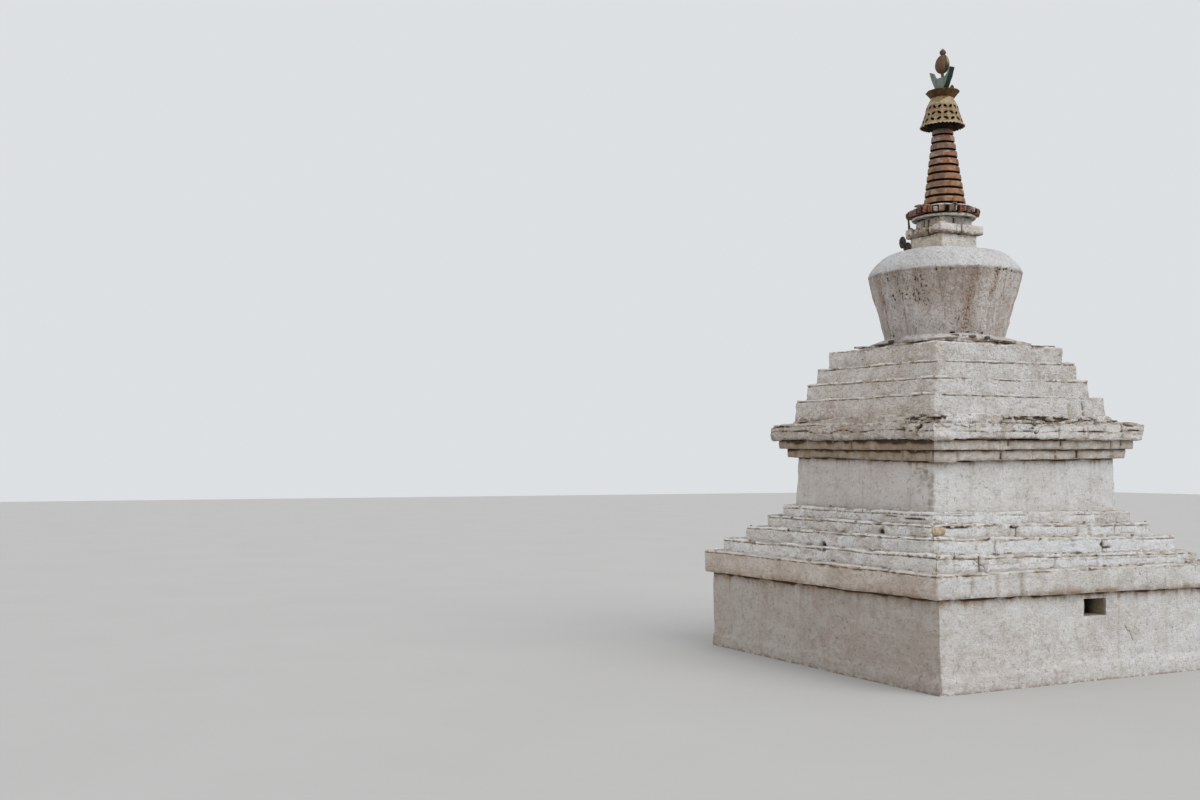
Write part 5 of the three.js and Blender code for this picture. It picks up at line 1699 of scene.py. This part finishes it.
def bell_cell(column, low, high, lean):
    """One pierced cell of the bell's lattice: a leaf-shaped hole with a raised rim."""
    side = 4
    edge = np.linspace(-1, 1, side + 1)[:-1]
    outer = np.concatenate([
        np.stack([edge, -np.ones(side)], -1), np.stack([np.ones(side), edge], -1),
        np.stack([-edge, np.ones(side)], -1), np.stack([-np.ones(side), -edge], -1)])
    bearing = np.arctan2(outer[:, 1], outer[:, 0])
    slant = lean * math.radians(38)
    turned = bearing - slant
    # A leaf: long and pointed at both ends.
    long, wide = 0.92, 0.50
    radius = 1 / (np.abs(np.cos(turned) / long) ** 1.35 + np.abs(np.sin(turned) / wide) ** 1.35) ** (1 / 1.35)
    leaf = np.stack([np.cos(bearing), np.sin(bearing)], -1) * radius[:, None]
    middle = leaf * 1.13
    centre = (column + 0.5) * 2 * math.pi / BELL_CELLS
    half_angle = math.pi / BELL_CELLS

    def placed(local, lift):
        z = (low + high) / 2 + local[:, 1] * (high - low) / 2
        angle = centre + local[:, 0] * half_angle
        r = bell_radius(z) + lift
        return np.stack([r * np.cos(angle), r * np.sin(angle), z], -1)

    loops = [placed(outer, 0.002), placed(outer * 0.55 + middle * 0.45, -0.0015), placed(middle, 0.0045),
             placed(leaf, 0.001), placed(leaf, -BELL_WALL), placed(outer, -BELL_WALL)]
    raised = [0.9, 0.0, 1.0, 0.2, 0.0, 0.0]
    # The walls of each hole and the wall behind it are painted dark as shade.
    hollow = [0.0, 0.35, 0.0, 0.5, 0.9, 0.9]
    points = np.concatenate(loops)
    n = len(outer)
    quads = grid_quads(np.arange(len(points)).reshape(len(loops), n))
    return Shape(points, quads, raised=np.repeat(raised, n), cavity=np.repeat(hollow, n))


def bell_band(zs, lift, raised):
    """Closed bands of the bell outside and inside, between the pierced rows."""
    columns = BELL_CELLS * 4
    cos, sin = circle(columns)
    shapes = []
    for inner in (False, True):
        rows = []
        for z, up in zip(zs, lift):
            r = bell_radius(z) + (-BELL_WALL if inner else up)
            rows.append(np.stack([r * cos, r * sin, np.full(columns, z)], -1))
        rows = np.array(rows)
        quads = grid_quads(np.arange(len(zs) * columns).reshape(len(zs), columns))
        if inner:
            quads = quads[:, ::-1]
        level = np.zeros(len(zs)) if inner else np.array(raised, float)
        # The inside face is painted dark as shade.
        shapes.append(Shape(rows.reshape(-1, 3), quads, raised=np.repeat(level, columns),
                            cavity=np.full(len(zs) * columns, 0.8 if inner else 0.0)))
    return shapes


def bell():
    """The bell: rows of pierced cells with bands between them, a lining and a notched rim."""
    low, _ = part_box("umbrella_bell")
    shapes = []
    for low_z, high_z, offset in BELL_ROWS:
        for column in range(BELL_CELLS):
            lean = 1 if (column + offset) % 2 else -1
            shapes.append(bell_cell(column, low_z, high_z, lean))
    shapes += bell_band([0.0, 0.006, 0.012, 0.018, 0.026], [0.001, 0.003, 0.001, 0.003, 0.0],
                        [1.0, 1.0, 0.5, 1, 0.3])
    shapes += bell_band([0.084, 0.088, 0.092], [0.0, 0.003, 0.0], [0.2, 1, 0.2])
    shapes += bell_band([0.146, 0.153, 0.160], [0.0, 0.003, 0.0], [0.2, 1, 0.2])
    shapes += bell_band([0.218, 0.226, 0.236, 0.252, 0.268, 0.2775], [0.0, 0.004, 0.001, 0.0, 0.0, 0.0],
                        [0.2, 1, 0.3, 0.3, 0.2, 0.1])
    shape = join_all(shapes)
    columns = BELL_CELLS * 4
    ring = np.stack(circle(columns), -1)

    def loop(radius, z):
        return np.concatenate([ring * radius, np.full((columns, 1), z)], axis=1)

    # The neck goes on to the top, the roof closes the inside, and a strip closes the rim.
    def strip(*loops):
        points = np.concatenate(loops)
        quads = grid_quads(np.arange(len(points)).reshape(len(loops), columns))
        return Shape(points, quads, raised=np.zeros(len(points)), cavity=np.zeros(len(points)))

    top = strip(loop(bell_radius(0.2775), 0.2775), loop(bell_radius(0.291), 0.291), loop(0.114, 0.302),
                loop(0.02, 0.302))
    roof = strip(loop(bell_radius(0.2775) - BELL_WALL, 0.2775), loop(0.02, 0.2775))
    roof.quads = roof.quads[:, ::-1]
    rim = strip(loop(bell_radius(0.0) - BELL_WALL, 0.0), loop(bell_radius(0.0), 0.0))
    for part in (top, roof):
        last = np.arange(len(part.points) - columns, len(part.points))
        part.points = np.concatenate([part.points, [part.points[last].mean(0)]])
        centre = np.full(columns, len(part.points) - 1)
        fan = np.stack([centre, last, np.roll(last, -1)], -1)
        part.tris = fan if part is top else fan[:, ::-1]
        part.marks = {k: np.concatenate([v, [0.0]]) for k, v in part.marks.items()}
    # A lining painted dark as shade stands a little inside the wall, behind the holes.
    heights = (0.020, 0.06, 0.11, 0.16, 0.21, 0.2775)
    lining = strip(*(loop(bell_radius(h) - BELL_WALL - 0.016, h) for h in heights))
    back = strip(*(loop(bell_radius(h) - BELL_WALL - 0.019, h) for h in heights))
    back.quads = back.quads[:, ::-1]
    lip = strip(loop(bell_radius(0.02) - BELL_WALL - 0.019, 0.020),
                loop(bell_radius(0.02) - BELL_WALL - 0.016, 0.020))
    for part in (lining, back, lip):
        part.mark(cavity=1.0)
    shape = join_all([shape, top, roof, rim, lining, back, lip])
    # Notches in the rim, and a hand-made waviness.
    z = shape.points[:, 2]
    bearing = np.arctan2(shape.points[:, 1], shape.points[:, 0])
    tooth = np.abs(((bearing / (2 * math.pi) * 36) % 1) - 0.5) * 2
    depth = 0.015 * smooth(tooth, 0.25, 1.0) * (0.7 + 0.7 * noise(shape.points, 0.05, 702))
    shape.points[:, 2] = np.where(z < 0.0255, z + depth * (1 - z / 0.0255), z)
    wave = 0.002 * rough_noise(shape.points, 0.12, 703, 2)
    reach = np.linalg.norm(shape.points[:, :2], axis=1)
    shape.points[:, :2] *= (1 + wave / np.maximum(reach, 0.05) * (reach > 0.05))[:, None]
    shape.points[:, 2] += low.z
    return shape


def remesh(obj, work):
    """Does a piece of work on an object's mesh."""
    bm = bmesh.new()
    bm.from_mesh(obj.data)
    work(bm)
    bm.to_mesh(obj.data)
    bm.free()


bell_object = make("umbrella_bell_dressed", aside(bell(), -0.014), GILT, ["umbrella_bell"],
                   sharp=40)
remesh(bell_object, lambda bm: bmesh.ops.remove_doubles(bm, verts=bm.verts[:], dist=0.0002))


def saucer():
    """The flared dish on the bell."""
    low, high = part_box("umbrella_saucer")
    profile = resampled([(0.03, 0.0), (0.112, 0.0), (0.122, 0.008), (0.138, 0.028), (0.155, 0.049),
                         (0.167, 0.060),
                         (0.1690, 0.065), (0.165, 0.070), (0.158, 0.0715), (0.10, 0.072), (0.03, 0.072)],
                         0.007)
    points, normals, shape = lathe(profile, 128, foot=low.z)
    out = 0.0018 * rough_noise(points, 0.06, 711, 3)
    marks = {"bare": np.zeros(len(points)), "cavity": np.zeros(len(points))}
    points = points + normals * out[:, None]
    bitten(points, normals, [((-0.075, -0.150, low.z + 0.070), (0.05, 0.03, 0.012), 0.006, 0.5, 0.4)], 712,
           marks)
    body = skin(points.reshape(shape), cavity=marks["cavity"])
    # A small broken bud stands on the rim at the right.
    rows, normals = lathe_rows([(0.004, -0.004), (0.018, 0.0), (0.021, 0.010), (0.017, 0.021), (0.009, 0.031),
                                (0.002, 0.038)],
                               16, centre=(0.136, 0.006), foot=high.z + 0.012)
    bud = skin(rows)
    bud.points += 0.002 * np.stack([noise(bud.points, 0.02, s) for s in (713, 714, 715)], -1)
    return body.joined(bud)


make("umbrella_saucer_dressed", aside(saucer(), -0.008), GILT_DARK, ["umbrella_saucer"],
     sharp=45)


# ---------------------------------------------------------------- crescent, sun and jewel

def crescent():
    """A thick crescent plate with softened edges, hammered a little uneven."""
    low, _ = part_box("crescent_moon")
    turn = math.radians(4)
    right_out = bezier((0.030, 0.0), (0.084, 0.058), (0.147, 0.234))
    right_in = bezier((0.040, 0.150), (0.100, 0.150), (0.133, 0.234))
    mirror = np.array([-1.0, 1.0])
    # Rungs across the plate from its outer edge to its inner one, from the left horn to the right.
    outer = np.concatenate([(right_out * mirror)[::-1], [(0.0, 0.0)], right_out])
    inside = np.concatenate([(right_in * mirror)[::-1], [(0.0, 0.150)], right_in])
    thick = 0.035
    bevel = 0.005
    rungs = []
    for a, b in zip(outer, inside):
        way = (b - a) / max(np.linalg.norm(b - a), 1e-6)
        near, far = a + way * bevel, b - way * bevel
        middle = (a + b) / 2
        rungs.append([
            (*a, -thick + bevel), (*near, -thick), (*middle, -thick), (*far, -thick), (*b, -thick + bevel),
            (*b, thick - bevel), (*far, thick), (*middle, thick), (*near, thick), (*a, thick - bevel)])
    rungs = np.array(rungs)[..., [0, 2, 1]]
    count, around, _ = rungs.shape
    index = np.arange(count * around).reshape(count, around)
    after = np.roll(index, -1, axis=1)
    quads = np.stack([index[:-1], index[1:], after[1:], after[:-1]], -1).reshape(-1, 4)
    points = np.concatenate([rungs.reshape(-1, 3), [rungs[0].mean(0), rungs[-1].mean(0)]])
    n = count * around
    tris = np.concatenate([
        np.stack([np.full(around, n), index[0], after[0]], -1),
        np.stack([np.full(around, n + 1), after[-1], index[-1]], -1)])
    # The outer edge is darker than the faces: darker patina with painted shade.
    on_edge = np.append(np.tile([1, 0.3, 0, 0, 0.2, 0.2, 0, 0, 0.3, 1], count), [0.5, 0.5])
    points = points + 0.0022 * np.stack([rough_noise(points, 0.05, s, 2) for s in (721, 722, 723)], -1)
    points[:, 2] = np.clip(points[:, 2], 0.0, None)
    cos, sin = math.cos(turn), math.sin(turn)
    x = points[:, 0] * cos - points[:, 1] * sin
    y = points[:, 0] * sin + points[:, 1] * cos
    return Shape(np.stack([x, y, points[:, 2] + low.z], -1), quads, tris, under=on_edge)


def patina_paint():
    """Grey-green patina, paler on the flat faces and dark round the outer edge, where painted shade lies over
    it.
    """
    p = Paint("green_patina", roughness=0.65, metallic=0.15, specular=0.3)
    wide = p.noise(14.0, 4, 0.6)
    middle = p.noise(34.0, 5, 0.62)
    fine = p.noise(110.0, 4, 0.65)
    p.colour = (0.155, 0.205, 0.165)
    p.lay((0.225, 0.270, 0.225), (wide, 0.42, 0.60))
    p.lay((0.110, 0.140, 0.110), (middle, 0.50, 0.66), 0.6)
    p.lay((0.075, 0.095, 0.070), (fine, 0.55, 0.70), 0.5)
    # Painted shade with darker patina round the outer edge.
    p.lay((0.018, 0.032, 0.022), ("under", 0.3, 0.9))
    return p.done(p.add(middle, p.mul(fine, 0.5)), 0.5, 0.003)


crescent_object = make("crescent_moon_dressed", aside(crescent(), -0.0125), patina_paint(), ["crescent_moon"],
                       sharp=40)


def sun():
    """An egg with upright ridges on a short stem, leaning a little to the right."""
    low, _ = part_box("sun_finial")
    stem, tall, widest = 0.048, 0.197, 0.072
    steps = 44
    profile = [(0.004, -0.002), (0.013, -0.002), (0.0135, 0.020), (0.017, 0.044)]
    for i in range(1, steps):
        a = math.pi * i / steps
        r = widest * math.sin(a) ** 0.92 * (1 + 0.07 * math.cos(a))
        z = stem + tall * (1 - math.cos(a)) / 2
        if r > 0.018 or z > 0.15:
            profile.append((max(r, 0.010), z))
    profile.append((0.006, stem + tall))
    points, normals, shape = lathe(profile, 84, foot=low.z)
    bearing = np.arctan2(points[:, 1], points[:, 0])
    share = np.clip((points[:, 2] - low.z - stem) / tall, 0, 1)
    bulge = np.sin(share * math.pi)
    lobes = np.abs(np.sin(bearing * 3.5 + 0.35))
    out = bulge * (0.006 * (lobes - 0.75)) + 0.0014 * rough_noise(points, 0.04, 731, 2) * bulge
    # Painted shade in the grooves between the lobes.
    groove = smooth(0.25 - lobes, 0.0, 0.2) * bulge
    points = points + normals * out[:, None]
    points = points + (0.016 * (share - 0.45) * (share > 0))[:, None] * SIDEWAYS
    return skin(points.reshape(shape), cavity=groove * 0.5, tone=lobes)


def sun_paint():
    """Faded paint on a wooden egg: pinkish-brown to one side, olive in the middle, tan beyond, painted darker
    low down as shade.
    """
    p = Paint("sun_wood", roughness=0.75, specular=0.3)
    # The run from the -Y side to the +Y side, as a slow change round the egg.
    side = p.add(p.mul(p.axis("X"), 0.45), p.mul(p.axis("Y"), 0.9))
    rise = p.ramp(p.axis("Z"), 6.00, 6.07)
    fine = p.noise(60.0, 5, 0.62)
    wide = p.noise(18.0, 4, 0.6)
    p.colour = (0.150, 0.076, 0.044)
    p.lay((0.130, 0.092, 0.036), (side, -0.035, -0.010))
    p.lay((0.040, 0.028, 0.016), (side, 0.000, 0.012))
    # Beyond it, dark low down as painted shade, and tan higher up.
    beyond = p.mix(rise, (0.035, 0.025, 0.018), (0.360, 0.265, 0.160))
    p.lay(beyond, (side, 0.018, 0.030))
    p.lay((0.09, 0.062, 0.045), (wide, 0.48, 0.62), 0.5)
    p.lay((0.20, 0.15, 0.11), (fine, 0.54, 0.68), 0.5)
    # Painted shade in the grooves.
    p.lay((0.045, 0.034, 0.025), ("cavity", 0.2, 0.9))
    return p.done(p.add(fine, wide), 0.5, 0.003)


make("sun_finial_dressed", aside(sun(), -0.006), sun_paint(), ["sun_finial"])


def jewel():
    """The small red jewel at the very top."""
    low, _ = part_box("jewel_tip")
    profile = resampled([(0.004, -0.005), (0.020, -0.002), (0.031, 0.010), (0.034, 0.024), (0.029, 0.037),
                         (0.019, 0.048),
                         (0.010, 0.056), (0.004, 0.062), (0.001, 0.064)], 0.004)
    points, normals, shape = lathe(profile, 32, foot=low.z)
    points = points + normals * (0.0014 * rough_noise(points, 0.025, 741, 2))[:, None]
    return skin(points.reshape(shape))


JEWEL = simple_paint("jewel_red", [(0.15, 0.07, 0.072), (0.20, 0.105, 0.105), (0.085, 0.045, 0.045)],
                     [25.0, 80.0], 0.6)
make("jewel_tip_dressed", jewel(), JEWEL, ["jewel_tip"])


# ---------------------------------------------------------------- rod and disc at the left corner

def rod():
    """The thin rod between the harmika's band and the crown."""
    low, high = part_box("corner_prop")
    centre = ((low.x + high.x) / 2, (low.y + high.y) / 2)
    tall = high.z - low.z
    profile = [(0.002, -0.004), (0.013, -0.003), (0.0125, 0.02), (0.0105, tall * 0.5), (0.010, tall - 0.015),
               (0.012, tall + 0.002), (0.003, tall + 0.003)]
    rows, normals = lathe_rows(resampled(profile, 0.006), 14, centre=centre, foot=low.z)
    shape = rows.shape
    points = rows.reshape(-1, 3)
    points = points + normals.reshape(-1, 3) * (0.0012 * rough_noise(points, 0.03, 751, 2))[:, None]
    # It leans outwards a little going up.
    reach = np.interp(points[:, 2], [low.z, high.z], [-0.003, 0.006])
    points[:, :2] -= (reach * math.sqrt(0.5))[:, None]
    return skin(points.reshape(shape))


make("corner_prop_dressed", rod(), TIMBER, ["corner_prop"])


def medallion():
    """Two rough dark lobes that stand on edge side by side, each with a sunk face."""
    low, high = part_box("corner_medallion")
    facing = np.array([math.sqrt(0.5), -math.sqrt(0.5), 0.0])
    across = np.array([math.sqrt(0.5), math.sqrt(0.5), 0.0])
    shapes = []
    # Each lobe: how far from the axis towards the corner, half-width, foot and top.
    for reach, half_wide, z0, z1, seed in ((0.424, 0.036, high.z - 0.122, high.z, 761),
                                           (0.375, 0.042, low.z - 0.004, high.z - 0.066, 765)):
        half = 0.019
        profile = resampled([(0.002, -half), (0.70, -half + 0.001), (0.90, -half + 0.003), (1.0, -0.008),
                             (1.0, 0.008),
                             (0.90, half - 0.003), (0.78, half), (0.62, half - 0.006), (0.002, half - 0.008)],
                             0.05)
        rows, _ = lathe_rows(profile, 40)
        points = rows.reshape(-1, 3)
        round_share = np.linalg.norm(points[:, :2], axis=1)
        middle = np.array([0.0, 0.0, (z0 + z1) / 2]) - reach * across
        placed = (points[:, :1] * half_wide * across + points[:, 2:] * facing + middle)
        placed[:, 2] += points[:, 1] * (z1 - z0) / 2
        away = placed - middle
        placed += away * (0.10 * rough_noise(placed, 0.035, seed, 3))[:, None]
        placed[:, 2] = np.clip(placed[:, 2], None, high.z)
        # The sunk faces are painted darker as shade.
        shapes.append(skin(placed.reshape(rows.shape), cavity=0.45 * smooth(0.72 - round_share, 0.0, 0.12)))
    return join_all(shapes)


DARK = simple_paint("dark_stone", [(0.095, 0.064, 0.050), (0.200, 0.140, 0.105), (0.030, 0.021, 0.017)],
                    [26.0, 60.0], 0.9)
medallion_object = make("corner_medallion_dressed", medallion(), DARK, ["corner_medallion"])


# ---------------------------------------------------------------- normals of closed pieces

for piece in (crescent_object, medallion_object, bell_object):
    remesh(piece, lambda bm: bmesh.ops.recalc_face_normals(bm, faces=bm.faces[:]))


# ---------------------------------------------------------------- floor, light and camera

def floor():
    """The pale floor that the stupa stands on in the render."""
    mesh = bpy.data.meshes.new("floor")
    reach = 60.0
    mesh.from_pydata([(-reach, -reach, 0), (reach, -reach, 0), (reach, reach, 0), (-reach, reach, 0)], [],
                     [(0, 1, 2, 3)])
    obj = bpy.data.objects.new("floor", mesh)
    bpy.context.collection.objects.link(obj)
    p = Paint("pale_floor", roughness=0.9, specular=0.1)
    wide = p.noise(0.6, 4, 0.6)
    p.colour = (0.50, 0.49, 0.475)
    p.lay((0.54, 0.53, 0.515), wide)
    mesh.materials.append(p.done(p.noise(30.0, 4, 0.6), 0.1, 0.003))


floor()

world = bpy.data.worlds.new("overcast")
bpy.context.scene.world = world
world.use_nodes = True
background = world.node_tree.nodes["Background"]
background.inputs["Color"].default_value = (0.725, 0.745, 0.770, 1.0)
background.inputs["Strength"].default_value = 1.0

sun_lamp = bpy.data.lights.new("soft_key", "SUN")
sun_lamp.energy = 1.4
sun_lamp.angle = math.radians(50)
sun_lamp.color = (1.0, 0.995, 0.985)
sun_object = bpy.data.objects.new("soft_key", sun_lamp)
bpy.context.collection.objects.link(sun_object)
# It shines down from beyond the +X side, a little towards +Y.
lamp_from = (*at_bearing(math.radians(22), 1.0), 0.85)
sun_object.rotation_euler = mathutils.Vector(lamp_from).to_track_quat("Z", "Y").to_euler()

camera_data = bpy.data.cameras.new("photo_camera")
camera_data.sensor_fit = "HORIZONTAL"
camera_data.sensor_width = SENSOR_MM
camera_data.lens = FOCAL_PIXELS * SENSOR_MM / PHOTO_WIDTH
camera_data.clip_start = 0.1
camera_data.clip_end = 300.0
camera = bpy.data.objects.new("photo_camera", camera_data)
bpy.context.collection.objects.link(camera)
ahead = np.array([
    -math.sin(CAMERA_YAW) * math.cos(CAMERA_PITCH), math.cos(CAMERA_YAW) * math.cos(CAMERA_PITCH),
    math.sin(CAMERA_PITCH)])
upright = np.cross(SIDEWAYS, ahead)
right = math.cos(CAMERA_ROLL) * SIDEWAYS + math.sin(CAMERA_ROLL) * upright
above = math.cos(CAMERA_ROLL) * upright - math.sin(CAMERA_ROLL) * SIDEWAYS
camera.matrix_world = mathutils.Matrix(
    [(right[k], above[k], -ahead[k], CAMERA_PLACE[k]) for k in range(3)] + [(0, 0, 0, 1)])
bpy.context.scene.camera = camera
bpy.context.scene.view_settings.view_transform = "Standard"
bpy.context.scene.view_settings.look = "None"
